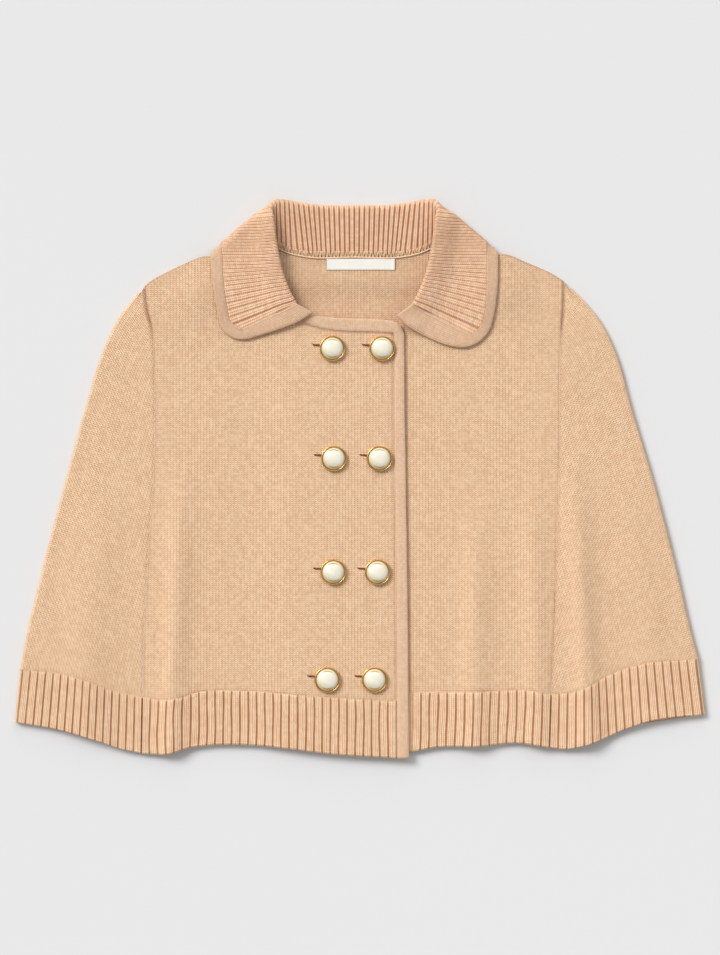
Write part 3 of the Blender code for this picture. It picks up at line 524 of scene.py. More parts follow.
def ripples(x: Array, y: Array) -> Array:
    """Height of the shallow unevenness that knitted cloth has when it lies flat.

    Args:
        x: Places across.
        y: Places up.

    Returns:
        The height there.
    """
    long = np.sin(x / 21.0 + 1.6 * np.sin(y / 47.0)) * np.sin(y / 33.0 + 0.9 * np.sin(x / 38.0))
    short = np.sin(x / 8.3 + 1.1 * np.sin(y / 12.0)) * np.sin(y / 9.1 + 1.3 * np.sin(x / 14.0))
    return 0.16 * long + 0.05 * short


def under_top(x: Array, y: Array) -> Array:
    """Top of the left front and of the side panels.

    Args:
        x: Places across.
        y: Places up.

    Returns:
        The height there.
    """
    lift = (NECK_LIFT + FRONT_LIFT_MORE) * lifted(x, y, FRONT_LIFT)
    shoulder = NECK_POINT[1] - SHOULDER_SLOPE * (abs(x) - NECK_POINT[0])
    puff = BODY_PUFF * ramp((shoulder - y) / PUFF_REACH)
    return 2 * WALL + LAYER_GAP + lift + puff + folds(x, y)


def over_top(x: Array, y: Array) -> Array:
    """Top of the right front, which steps up over the underlap."""
    step = ramp((x - UNDERLAP_EDGE + OVERLAP_SLOPE) / OVERLAP_SLOPE)
    return under_top(x, y) + OVERLAP_STEP * step


def cover_top(x: Array, y: Array) -> Array:
    """Top of whatever lies under the collar: front, band or underlap.

    Args:
        x: Places across.
        y: Places up.

    Returns:
        The height there.
    """
    start, rise, end, fade = COVER_STEP
    step = ramp((x - start) / rise) * (1 - ramp((x - end) / fade))
    return under_top(x, y) + (OVERLAP_STEP + BAND_RISE) * step


def raised(plan: Array, height: Array) -> Array:
    """Lift a plan grid to a height."""
    return np.dstack([plan, np.broadcast_to(height, plan.shape[:2])])


def height_at(top_of: Height, plan: Array) -> Array:
    """Read a height at each point of a plan."""
    return top_of(plan[..., 0], plan[..., 1])


# Shader building


def operator(operation: str) -> Callable[..., "Field"]:
    """Make a method of Field that adds a Math node, with the field as its first value."""
    def method(first: "Field", *others: object) -> "Field":
        """Add the node."""
        values = dict(enumerate((first, *others)))
        return first.graph.out("ShaderNodeMath", {"operation": operation}, values)
    return method


class Field:
    """A socket of a shader node, whose operators and methods add Math nodes to it."""

    def __init__(self, graph: "Graph", socket: bpy.types.NodeSocket) -> None:
        """Wrap a socket of a graph."""
        self.graph = graph
        self.socket = socket

    __add__ = operator("ADD")
    __sub__ = operator("SUBTRACT")
    __mul__ = operator("MULTIPLY")
    __pow__ = operator("POWER")
    __abs__ = operator("ABSOLUTE")
    fraction = operator("FRACT")
    whole = operator("FLOOR")
    sine = operator("SINE")
    at_most = operator("MINIMUM")
    at_least = operator("MAXIMUM")

    def __rsub__(self, other: float) -> "Field":
        """Take this from a number."""
        return (self * -1.0) + other

    def clipped(self) -> "Field":
        """Hold between 0 and 1."""
        return self.at_most(1.0).at_least(0.0)


class Graph:
    """A material's node tree."""

    def __init__(self, name: str) -> None:
        """Start a material with its shader and output."""
        self.material = bpy.data.materials.new(name)
        self.material.use_nodes = True
        self.tree = self.material.node_tree
        self.shader = self.tree.nodes["Principled BSDF"]

    def add(self, kind: str, settings: dict, values: dict) -> bpy.types.Node:
        """Add a node.

        Args:
            kind: The node's type.
            settings: Its properties, set first.
            values: Its sockets, by name or number, with a number, colour, field or socket each.

        Returns:
            The node.
        """
        node = self.tree.nodes.new(kind)
        for name, value in settings.items():
            setattr(node, name, value)
        for name, value in values.items():
            self.feed(node.inputs[name], value)
        return node

    def set(self, values: dict[str, object]) -> None:
        """Feed inputs of the shader by their names."""
        for name, value in values.items():
            self.feed(self.shader.inputs[name], value)

    def feed(self, socket: bpy.types.NodeSocket, value: object) -> None:
        """Link a field or socket to a socket, or set the socket's own value.

        Args:
            socket: The input.
            value: A field, a socket or a plain value.
        """
        if isinstance(value, Field):
            self.tree.links.new(value.socket, socket)
        elif isinstance(value, bpy.types.NodeSocket):
            self.tree.links.new(value, socket)
        else:
            socket.default_value = value

    def out(self, kind: str, settings: dict, values: dict, output: object = 0) -> Field:
        """Add a node and wrap one of its outputs."""
        return Field(self, self.add(kind, settings, values).outputs[output])

    def mix(self, share: object, low: object, high: object) -> Field:
        """Blend two colours by a share."""
        settings = {"data_type": "RGBA", "blend_type": "MIX", "clamp_factor": True}
        return self.out("ShaderNodeMix", settings, {0: share, 6: low, 7: high}, 2)

    def uv(self) -> tuple[Field, Field]:
        """Read the piece's own UV map as wales and courses.

        Returns:
            Both coordinates.
        """
        node = self.add("ShaderNodeUVMap", {"uv_map": "stitches"}, {})
        split = self.add("ShaderNodeSeparateXYZ", {}, {0: node.outputs[0]})
        return Field(self, split.outputs[0]), Field(self, split.outputs[1])

    def point(self) -> bpy.types.NodeSocket:
        """Read Object coordinates."""
        return self.add("ShaderNodeTexCoord", {}, {}).outputs["Object"]

    def layer(self, name: str) -> Field:
        """Read a number that the piece carries in an attribute."""
        settings = {"attribute_name": name, "attribute_type": "GEOMETRY"}
        return self.out("ShaderNodeAttribute", settings, {}, "Fac")

    def noise(self, scale: float, detail: float = 2.0, where: object = None) -> Field:
        """Read smooth noise, on Object coordinates unless a place is given."""
        values = {"Vector": where or self.point(), "Scale": scale, "Detail": detail}
        return self.out("ShaderNodeTexNoise", {"noise_dimensions": "3D"}, values, "Fac")

    def finish(self, colour: object, roughness: object, bump: Optional[Field] = None,
               depth: float = 0.0) -> Material:
        """Feed the shader.

        Args:
            colour: Base colour.
            roughness: Roughness.
            bump: Height of the relief, from 0 to 1.
            depth: The relief's depth in metres.

        Returns:
            The material.
        """
        self.set({"Base Color": colour, "Roughness": roughness})
        if bump is not None:
            values = {"Height": bump, "Distance": depth, "Strength": 1.0}
            self.set({"Normal": self.out("ShaderNodeBump", {}, values)})
        return self.material


Colour = tuple[float, float, float, float]


@dataclass(frozen=True)
class KnitFinish:
    """Wool knit: V-shaped stitches on the piece's UV map, in one wale by one course a unit, with a
    painted highlight on each loop's crown and painted shade in the holes between loops.
    """

    name: str
    light: Colour
    deep: Colour
    # Colour of the painted shade that each piece carries, point by point, in an attribute
    painted_shade: Colour
    # Colour of the painted highlight on each loop's crown
    bright: Colour = (0.99, 0.80, 0.60, 1.0)
    depth: float = 0.0006
    contrast: float = 0.75
    slant: float = 1.3
    mottle: float = 0.10
    sheen: float = 0.25

    def build(self) -> Material:
        """Make the material.

        Returns:
            The material.
        """
        graph = Graph(self.name)
        wales, courses = graph.uv()
        off = abs(wales.fraction() - 0.5)
        leg = (off - 0.25) * 4.0
        round_leg = 1.0 - leg * leg
        along = (courses - off * self.slant).fraction()
        loop = (along * math.pi).sine()
        height = (round_leg * (loop * 0.7 + 0.3)).clipped()
        between = (off * 2.0) ** 4.0
        hole = between * (1.0 - loop)
        # Painted highlight on each loop's crown
        shine = (round_leg * loop).clipped() ** 3.0

        corner = graph.add("ShaderNodeCombineXYZ", {}, {0: wales.whole(),
                                                        1: (courses - off * self.slant).whole()})
        single = graph.out("ShaderNodeTexWhiteNoise", {"noise_dimensions": "2D"},
                           {"Vector": corner.outputs[0]}, "Value")
        lane = graph.add("ShaderNodeCombineXYZ", {}, {0: wales.whole(), 1: courses * 0.02})
        streak = graph.noise(1.7, 1.0, lane.outputs[0])
        cloud = graph.noise(55.0, 3.0)
        fibre = graph.noise(2600.0, 3.0)

        # Lighter where a loop stands high, darker in the holes between loops: painted shade at the
        # scale of the stitches; the noises add random tone
        tone = height * self.contrast + (1.15 - self.contrast * 0.75)
        tone = tone - between * self.contrast * 0.15 - hole * self.contrast * 0.6
        tone = tone - (1.0 - loop) * self.contrast * 0.4
        tone = tone + (single - 0.5) * 0.26 + (fibre - 0.5) * 0.25
        tone = tone + (cloud - 0.5) * self.mottle + (streak - 0.5) * self.mottle * 1.2
        colour = graph.mix(tone.clipped(), self.deep, self.light)
        colour = graph.mix((shine * self.contrast + (single - 0.5) * 0.3).clipped(),
                           colour, self.bright)
        # Painted shade from the attribute: in rib furrows, along seams, beside the band's edge and
        # under the collar
        colour = graph.mix(graph.layer("painted_shade").clipped(), colour, self.painted_shade)
        rough = (fibre * 0.1) + 0.85
        graph.set({"Sheen Weight": self.sheen, "Sheen Roughness": 0.5,
                   "Sheen Tint": self.light, "Specular IOR Level": 0.2})
        bump = height + (fibre - 0.5) * 0.5 + (single - 0.5) * 0.15
        return graph.finish(colour, rough, bump, self.depth)


@dataclass(frozen=True)
class SatinFinish:
    """Woven satin of the bare label: fine ribs along it and a little sheen."""

    name: str
    light: Colour
    deep: Colour
    depth: float = 0.00008
    sheen: float = 0.15

    def build(self) -> Material:
        """Make the material.

        Returns:
            The material.
        """
        graph = Graph(self.name)
        across, along = graph.uv()
        warp = (across * (2 * math.pi)).sine() * 0.5 + 0.5
        weft = (along * (2 * math.pi)).sine() * 0.5 + 0.5
        weave = warp * 0.35 + weft * 0.65
        cloud = graph.noise(240.0)
        tone = (weave * 0.35 + 0.5 + (cloud - 0.5) * 0.4).clipped()
        graph.set({"Sheen Weight": self.sheen})
        return graph.finish(graph.mix(tone, self.deep, self.light), cloud * 0.2 + 0.4, weave,
                            self.depth)


@dataclass(frozen=True)
class GoldFinish:
    """Polished gold-coloured metal with fine wear."""

    name: str
    light: Colour
    deep: Colour
    depth: float = 0.00004

    def build(self) -> Material:
        """Make the material.

        Returns:
            The material.
        """
        graph = Graph(self.name)
        wear = graph.noise(900.0, 4.0)
        cloud = graph.noise(150.0)
        graph.set({"Metallic": 1.0})
        colour = graph.mix((cloud * 1.4 - 0.2).clipped(), self.deep, self.light)
        return graph.finish(colour, wear * 0.16 + 0.2, wear, self.depth)


@dataclass(frozen=True)
class PearlFinish:
    """Glossy ivory pearl: clouded milky layers under a clear coat, with painted shade towards its
    rim and lower left, and a painted reflection of the gold rim as two arcs.
    """

    name: str
    light: Colour
    deep: Colour
    # Colour of the painted reflection of the gold rim, and the share of the radius where its arcs
    # lie
    rim_reflection: Colour = (0.40, 0.25, 0.05, 1.0)
    reflection_radius: float = 0.79
    depth: float = 0.00005

    def build(self) -> Material:
        """Make the material.

        Returns:
            The material.
        """
        graph = Graph(self.name)
        cloud = graph.noise(190.0, 3.0)
        # Painted shade towards the dome's rim, carried in an attribute
        edge = graph.layer("painted_shade")
        x, y = graph.uv()
        out = (x * x + y * y) ** 0.5
        # Painted shade on the dome's lower left side
        low = ((y * -1.0 - x * 0.5 - 0.2) * 0.8).clipped()
        tone = (cloud * 0.4 + 0.55 - edge * 0.9 - low).clipped()
        # Two short arcs, top and bottom: a painted reflection of the gold rim
        ring = (1.0 - abs(out - self.reflection_radius) * 14.0).clipped()
        arc = (ring * ((abs(y) - 0.6) * 9.0).clipped() * (2.0 - abs(x) * 2.6)).clipped()
        graph.set({"Coat Weight": 0.8, "Coat Roughness": 0.06})
        fine = graph.noise(1500.0, 2.0)
        milk = graph.mix(tone, self.deep, self.light)
        return graph.finish(graph.mix(arc, milk, self.rim_reflection), fine * 0.06 + 0.14, cloud,
                            self.depth)


@dataclass(frozen=True)
class FloorFinish:
    """Plain pale floor with a trace of unevenness."""

    name: str
    light: Colour
    dimmer: float = 0.985

    def build(self) -> Material:
        """Make the material.

        Returns:
            The material.
        """
        graph = Graph(self.name)
        cloud = graph.noise(1.5)
        shade = tuple(self.dimmer * c for c in self.light[:3]) + (1.0,)
        graph.set({"Specular IOR Level": 0.0})
        return graph.finish(graph.mix(cloud, shade, self.light), 0.95)


# Each knit: its light and deep stitch colours, then the colour of its painted shade
FINISHES = {
    Finish.KNIT: KnitFinish("knit", (0.98, 0.66, 0.402, 1.0), (0.40, 0.165, 0.07, 1.0),
                            (0.27, 0.085, 0.035, 1.0)),
    Finish.RIB: KnitFinish("rib_knit", (0.985, 0.668, 0.41, 1.0), (0.40, 0.17, 0.075, 1.0),
                           (0.40, 0.15, 0.07, 1.0)),
    Finish.BAND: KnitFinish("band_knit", (0.81, 0.54, 0.35, 1.0), (0.56, 0.31, 0.18, 1.0),
                            (0.30, 0.10, 0.05, 1.0), depth=0.0004, contrast=0.5),
    Finish.COLLAR: KnitFinish("collar_rib", (0.81, 0.505, 0.318, 1.0), (0.44, 0.20, 0.10, 1.0),
                              (0.34, 0.11, 0.05, 1.0), depth=0.0005, contrast=0.5),
    Finish.LABEL: SatinFinish("label_satin", (0.83, 0.81, 0.75, 1.0), (0.68, 0.65, 0.57, 1.0)),
    Finish.GOLD: GoldFinish("gold", (0.90, 0.55, 0.17, 1.0), (0.55, 0.28, 0.06, 1.0)),
    Finish.PEARL: PearlFinish("pearl", (0.86, 0.83, 0.72, 1.0), (0.58, 0.50, 0.30, 1.0)),
}


@functools.cache
def material(finish: Finish) -> Material:
    """Make a finish's material at its first use, and keep it."""
    return FINISHES[finish].build()


# Meshes


def normals_of(grid: Array) -> Array:
    """Unit normals of a surface grid."""
    return unit(np.cross(np.gradient(grid, axis=1), np.gradient(grid, axis=0)))


def apart(grid: Array, edge: Array) -> Array:
    """Distance of each point from its point of a border, or from one place, in millimetres."""
    return np.linalg.norm(grid - edge, axis=-1)


def only(piece: Piece) -> None:
    """Select one object alone and make it the active one."""
    bpy.ops.object.select_all(action="DESELECT")
    piece.select_set(True)
    bpy.context.view_layer.objects.active = piece


def place(piece: Piece) -> None:
    """Put an object's place, turn and size into its mesh."""
    only(piece)
    bpy.ops.object.transform_apply(location=True, rotation=True, scale=True)


def carve(piece: Piece, cutter: Piece) -> None:
    """Cut one object out of another and drop the cutter.

    Args:
        piece: The object that is cut.
        cutter: The object that cuts it.
    """
    slot = piece.modifiers.new("cut", "BOOLEAN")
    slot.operation = "DIFFERENCE"
    slot.solver = "EXACT"
    slot.object = cutter
    only(piece)
    bpy.ops.object.modifier_apply(modifier=slot.name)
    bpy.data.objects.remove(cutter)


@dataclass
class Cloth:
    """What a shell of cloth is made from, all in millimetres.

    The first fine columns of the outer face lie evenly over the first coarse ones of the inner
    face, and the rest lie one on one; left out, they take in every column.
    """

    outer: Array
    inner: Array
    stitches: Array
    painted_shade: Array
    fine: int = 0
    coarse: int = 0

    def __post_init__(self) -> None:
        """Let the fine and the coarse columns take in all where they are left out."""
        self.fine = self.fine or self.outer.shape[1] - 1
        self.coarse = self.coarse or self.inner.shape[1] - 1

    def faces(self) -> list[tuple[int, ...]]:
        """List the faces of the closed shell.

        Returns:
            Each face's corners, by number.
        """
        rows, wide = self.outer.shape[:2]
        narrow = self.inner.shape[1]
        ratio = self.fine // self.coarse
        base = rows * wide
        faces = []
        for r in range(rows - 1):
            for c in range(wide - 1):
                i = r * wide + c
                faces.append((i, i + 1, i + wide + 1, i + wide))
            for c in range(narrow - 1):
                i = base + r * narrow + c
                faces.append((i, i + narrow, i + narrow + 1, i + 1))
            for out_c, in_c in ((0, 0), (wide - 1, narrow - 1)):
                o = r * wide + out_c
                i = base + r * narrow + in_c
                faces.append((o, o + wide, i + narrow, i))
        for r in (0, rows - 1):
            for c in range(narrow - 1):
                start, count = c * ratio, ratio
                if c >= self.coarse:
                    start, count = self.fine + c - self.coarse, 1
                rim = [r * wide + start + k for k in range(count + 1)]
                i = base + r * narrow + c
                faces.append((*rim, i + 1, i))
        return faces

    def under_columns(self) -> Array:
        """Give the outer column that each inner column lies under.

        Returns:
            A column number for each inner column.
        """
        column = np.arange(self.inner.shape[1])
        return np.where(column <= self.coarse, column * (self.fine // self.coarse),
                        self.fine + column - self.coarse)


@dataclass
class Loom:
    """Turns shapes in millimetres into finished pieces on the frame."""

    shift: Pair
    pieces: list[Piece] = field(default_factory=list)

    def mesh(self, name: str, points: Array, faces: list[tuple[int, ...]],
             stitches: Array, painted_shade: Array) -> Piece:
        """Make an object from points in millimetres.

        Args:
            name: Its name.
            points: Its corners.
            faces: Its faces, by corner number.
            stitches: The UV place of each corner, in wales and courses.
            painted_shade: How much painted shade each corner has, from 0 to 1.

        Returns:
            The object, with its faces turned outwards.
        """
        mesh = bpy.data.meshes.new(name)
        moved = (points + np.array([*self.shift, 0.0])) * MM
        mesh.from_pydata(moved.tolist(), [], faces)
        shape = bmesh.new()
        shape.from_mesh(mesh)
        bmesh.ops.recalc_face_normals(shape, faces=shape.faces)
        shape.to_mesh(mesh)
        shape.free()
        corners = np.zeros(len(mesh.loops), np.int32)
        mesh.loops.foreach_get("vertex_index", corners)
        layer = mesh.uv_layers.new(name="stitches")
        layer.data.foreach_set("uv", stitches[corners].astype(np.float32).ravel())
        mark = mesh.attributes.new("painted_shade", "FLOAT", "POINT")
        mark.data.foreach_set("value", painted_shade.astype(np.float32))
        mesh.shade_smooth()
        piece = bpy.data.objects.new(name, mesh)
        bpy.context.scene.collection.objects.link(piece)
        return piece

    def shell(self, name: str, cloth: Cloth) -> Piece:
        """Make a closed shell of cloth.

        Args:
            name: Its name.
            cloth: Its form.

        Returns:
            The object.
        """
        points = np.concatenate([cloth.outer.reshape(-1, 3), cloth.inner.reshape(-1, 3)])
        under = cloth.stitches[:, cloth.under_columns()]
        stitches = np.concatenate([cloth.stitches.reshape(-1, 2), under.reshape(-1, 2)])
        painted_shade = np.concatenate([cloth.painted_shade.ravel(), np.zeros(cloth.inner[..., 0].size)])
        return self.mesh(name, points, cloth.faces(), stitches, painted_shade)

    def sheet(self, name: str, cloth: Cloth, finish: Finish, middle: Array) -> None:
        """Args:
            name: The node's name.
            cloth: Its form.
            finish: Its finish.
            middle: Its surface without ribs or stitches, rows up and columns across. Not used.
        """
        piece = self.dress(self.shell(f"{name}_cloth", cloth), finish, name)

    def cord(self, name: str, route: Array, radius: float, closed: bool = False,
             sides: int = 6) -> Piece:
        """Make a thin thread along a route, thicker and thinner by its stitches.

        Args:
            name: Its name.
            route: Points in millimetres, evenly spaced.
            radius: Its radius in millimetres.
            closed: Whether it runs round to its start.
            sides: How many sides it has.

        Returns:
            The object.
        """
        count = len(route)
        if closed:
            tangent = np.roll(route, -1, axis=0) - np.roll(route, 1, axis=0)
        else:
            tangent = np.gradient(route, axis=0)
        tangent = unit(tangent)
        side = unit(np.cross(tangent, [0.0, 0.0, 1.0]))
        up = np.cross(side, tangent)
        turn = 2 * math.pi * np.arange(sides) / sides
        along = run_of(route)
        usual, swell = THREAD_SWELL
        size = radius * (usual + swell * np.sin(2 * math.pi * along / COURSE))
        ring = (np.cos(turn)[None, :, None] * side[:, None]
                + np.sin(turn)[None, :, None] * up[:, None])
        points = (route[:, None] + size[:, None, None] * ring).reshape(-1, 3)
        faces = []
        for k in range(count if closed else count - 1):
            n = (k + 1) % count
            for s in range(sides):
                t = (s + 1) % sides
                faces.append((k * sides + s, k * sides + t, n * sides + t, n * sides + s))
        if not closed:
            faces.append(tuple(range(sides)))
            faces.append(tuple(range((count - 1) * sides, count * sides)))
        stitches = stitched((np.arange(sides) / sides)[None, :], (along / COURSE)[:, None])
        return self.mesh(name, points, faces, stitches.reshape(-1, 2), np.zeros(count * sides))

    def dress(self, piece: Piece, finish: Finish, *nodes: str) -> Piece:
        """Give a piece its finish, let it ride on the frame and stand for its CAD nodes.

        Args:
            piece: The piece.
            finish: Its finish.
            nodes: Names of the CAD nodes that it stands for.

        Returns:
            The piece.
        """
        piece.data.materials.clear()
        piece.data.materials.append(material(finish))
        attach(piece, "root")
        if nodes:
            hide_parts(*nodes)
        self.pieces.append(piece)
        LOG.info("%s: %d faces", piece.name, len(piece.data.polygons))
        return piece


# Panels


def near_shoulder(y: Array) -> Array:
    """Share by which the side seams are deeper near the shoulder."""
    start, length = SEAM_DEEPENS
    return ramp((y - start) / length)


@dataclass
class Borders:
    """How deep a panel's four borders dip where they are seamed, which also sets the painted shade
    there.
    """

    left: float = 0.3
    right: float = 0.3
    top: float = 0.3
    bottom: float = 0.2
    left_top: float = 0.0
    right_top: float = 0.0
    reach: float = 1.7

    def dips(self, plan: Array) -> Array:
        """Depth of the dip towards the seams at each point of a plan, in millimetres.

        Args:
            plan: Points by row and column.

        Returns:
            The depth at each point.
        """
        deep = near_shoulder(plan[..., 1])
        left = self.left + self.left_top * deep
        right = self.right + self.right_top * deep
        sides = ((left, plan[:, :1]), (right, plan[:, -1:]), (self.top, plan[-1:]),
                 (self.bottom, plan[:1]))
        return sum(depth * bell(apart(plan, edge) / self.reach) for depth, edge in sides)


def above_floor(*grids: Array) -> None:
    """Hold surfaces above the floor."""
    for grid in grids:
        grid[..., 2] = np.maximum(grid[..., 2], 0.0)


def straight_stitches(plan: Array) -> Array:
    """Wales run straight up a plan and courses straight across it."""
    return stitched(plan[..., 0] / WALE, plan[..., 1] / COURSE)


@dataclass
class BackPanel:
    """The back: a plain panel with the neckline, and its hem, which the front hides."""

    columns: int = 96
    rows: int = 72
    rib_middle: Pair = (0.0, -186.7)
    hem_middle: Pair = (0.0, -233.0)
    hem_ribs: int = 60
    relief: float = 0.12
    # Painted shade over the back inside the neck, twice as deep beyond a lighter middle, towards
    # the collar's rolls
    neck_shade: float = 0.08
    lighter_half: float = 18.0
    shade_grows_over: float = 26.0

    def outline(self) -> tuple[Curve, Curve]:
        """Give the back's lower and upper lines.

        Returns:
            Both lines, read across.
        """
        top = chain((0.22, line(RIGHT_SHOULDER)), (0.56, line(BACK_NECK)),
                    (0.22, line(LEFT_SHOULDER[::-1])))
        return line([RIGHT_SEAM[-1], self.rib_middle, LEFT_SEAM[-1]]), top

    def build(self, loom: Loom) -> None:
        """Make the panel and its hem.

        Args:
            loom: The loom.
        """
        bottom, top = self.outline()
        across = np.linspace(0.0, 1.0, self.columns + 1)
        up = edged(self.rows, 0.01)
        plan = drawn_in(patch(bottom, top, line(RIGHT_SEAM[::-1]), line(LEFT_SEAM[::-1]),
                              across, up))
        x, y = plan[..., 0], plan[..., 1]
        height = back_top(x, y)
        relief = self.relief * np.sin(x / 9.0 + np.sin(y / 13.0)) * ramp((y - 80) / 20)
        # Painted shade inside the neck, deeper towards the collar's rolls at both sides
        shade = self.neck_shade * (1 + ramp((abs(x) - self.lighter_half) / self.shade_grows_over))
        cloth = Cloth(raised(plan, height + relief - self.relief), raised(plan, height - WALL),
                      straight_stitches(plan), shade)
        panel = loom.dress(loom.shell("back_cloth", cloth), Finish.KNIT, "back_panel")

        low = back_hem(RIGHT_SIDE_HEM[0]), back_hem(LEFT_SIDE_HEM[0])
        hem = line([low[0], self.hem_middle, low[1]])
        HemRib("back_hem_rib", self.hem_ribs, ("back_cloth",)).build(
            loom, hem, bottom, line([low[0], RIGHT_SEAM[-1]]), line([low[1], LEFT_SEAM[-1]]),
            back_top, inside=True)


def back_hem(point: Sequence[float]) -> Pair:
    """Place a point of the back's hem a little above the front's, where it is hidden."""
    return point[0], point[1] + BACK_HEM_SHORTER


def rib_relief(phase: Array, side: float) -> Array:
    """Height of a run of ribs, from 0 in the furrow between two ribs to 1 on a rib.

    Args:
        phase: The place, a whole number in each furrow.
        side: Share of the pitch that each flank takes.

    Returns:
        The height.
    """
    f = phase - np.floor(phase)
    near = np.minimum(f, 1 - f)
    flank = np.sqrt(np.clip(near / side, 0.0, 1.0) * (2 - np.clip(near / side, 0.0, 1.0)))
    return flank * (0.88 + 0.12 * np.sin(math.pi * f))


def rib_shade(phase: Array, reach: float) -> Array:
    """Painted shade of a run of ribs: 1 in each furrow between them, down to 0 a share of the
    pitch away.
    """
    f = phase - np.floor(phase)
    return 1 - ramp(np.minimum(f, 1 - f) / reach)


def rib_stitches(phase: Array, wales: float, side: float) -> Array:
    """Wale number across a run of ribs, with whole wales on each rib's crown."""
    f = phase - np.floor(phase)
    return np.floor(phase) * wales + np.clip((f - side / 2) / (1 - side), 0.0, 1.0) * wales


@dataclass
class HemRib:
    """A deep ribbed hem below a panel."""

    name: str
    ribs: int
    on: tuple[str, ...]
    steps: int = 10
    side: float = 0.17
    edge_round: float = 1.3
    fade: float = 2.6
    # Share of the pitch over which the painted shade in each furrow fades
    shade: float = 0.185
    wander: float = 0.7
    lean: float = 0.75
    waver: float = 0.4
    scallop: float = 0.5
    gap: float = 0.1
    # Share of the hem that lies under the right front and has no ribs
    hidden: float = 0.0
    inside_share: float = 0.3
    inside_rise: float = 0.15

    def rows(self) -> Array:
        """Shares up the hem, close together at its edge and where it meets the panel.

        Returns:
            The shares in order.
        """
        low = np.array([0.0, 0.004, 0.01, 0.018, 0.03, 0.05, 0.08])
        middle = np.linspace(0.14, 0.88, 11)
        high = np.array([0.91, 0.93, 0.945, 0.955, 0.965, 0.975, 0.985, 0.993, 1.0])
        return np.concatenate([low, middle, high])

    def phases(self) -> Array:
        """Rib numbers of the columns."""
        return np.linspace(0.0, self.ribs, self.ribs * self.steps + 1)

    def relief(self, plan: Array, phase: Array) -> tuple[Array, Array]:
        """Give the ribs' rise over a plan, and the painted shade in the furrows between them.

        Args:
            plan: Points by row and column.
            phase: Rib number of each column.

        Returns:
            The rise in millimetres, and the painted shade from 0 to 1.
        """
        from_edge = apart(plan, plan[:1])
        from_panel = apart(plan, plan[-1:])
        rib = rib_relief(phase, self.side)
        shown = np.where(phase / self.ribs < self.hidden, 0.0, 1.0)
        wander = self.wander * drift(np.floor(phase + 0.5) * 7.0 + 3.0)
        fade = ramp((from_panel - wander * 0.5) / self.fade) * shown
        rise = fade * (RIB_RISE * rib - RIB_SINK) * (1.0 + 0.1 * drift(phase * 0.7))
        inset = np.clip(self.edge_round - from_edge, 0.0, self.edge_round)
        drop = self.edge_round - np.sqrt(self.edge_round ** 2 - inset ** 2)
        uneven = 0.78 + 0.22 * drift(phase * 0.9 + from_edge * 0.11)
        painted_shade = rib_shade(phase, self.shade) * fade * uneven
        return rise - drop, painted_shade

    def wavering(self, plan: Array, phase: Array) -> Array:
        """Let the ribs lean and waver a little, as drawn-in knitting does.

        Args:
            plan: Points by row and column.
            phase: Rib number of each column.

        Returns:
            The moved points.
        """
        up = self.rows()[:, None]
        inside = ramp(np.minimum(phase, self.ribs - phase) / 1.5)
        lean = self.lean * drift(phase * 0.45 + self.ribs) * np.sin(math.pi * up)
        waver = self.waver * drift(phase * 0.8 + 31.0) * np.sin(2 * math.pi * up)
        moved = plan.copy()
        moved[..., 0] += (lean + waver) * inside
        return moved

    def stitches(self, plan: Array, phase: Array) -> Array:
        """Two wales on each rib, and courses up the hem."""
        up = apart(plan, plan[:1]) / COURSE
        return stitched(rib_stitches(phase, 2.0, self.side), up)

    def build(self, loom: Loom, hem: Curve, top: Curve, left: Curve, right: Curve,
              top_of: Height, inside: bool = False) -> None:
        """Make the hem between four lines.

        Args:
            loom: The loom.
            hem: The garment's lower edge.
            top: The line where the ribs meet the panel.
            left: The side where across is 0.
            right: The side where across is 1.
            top_of: Height of the panel's top.
            inside: Whether the hem lies under the others, with lower ribs.
        """
        phase = self.phases()
        plan = self.wavering(patch(hem, top, left, right, phase / self.ribs, self.rows()), phase)
        plan = drawn_in(plan, self.gap)
        flat = plan.copy()
        rise, painted_shade = self.relief(plan, phase)
        if inside:
            rise = np.minimum(rise * self.inside_share, self.inside_rise)
        plan[0, :, 1] -= self.scallop * rib_relief(phase, 0.3)
        height = height_at(top_of, plan) + (0.0 if inside else 1.0) * height_at(ripples, plan)
        under = flat[:, ::self.steps]
        below = height_at(top_of, under) - WALL
        cloth = Cloth(raised(plan, height + rise), raised(under, below),
                      self.stitches(flat, phase), painted_shade)
        loom.sheet(self.name, cloth, Finish.RIB, flat)


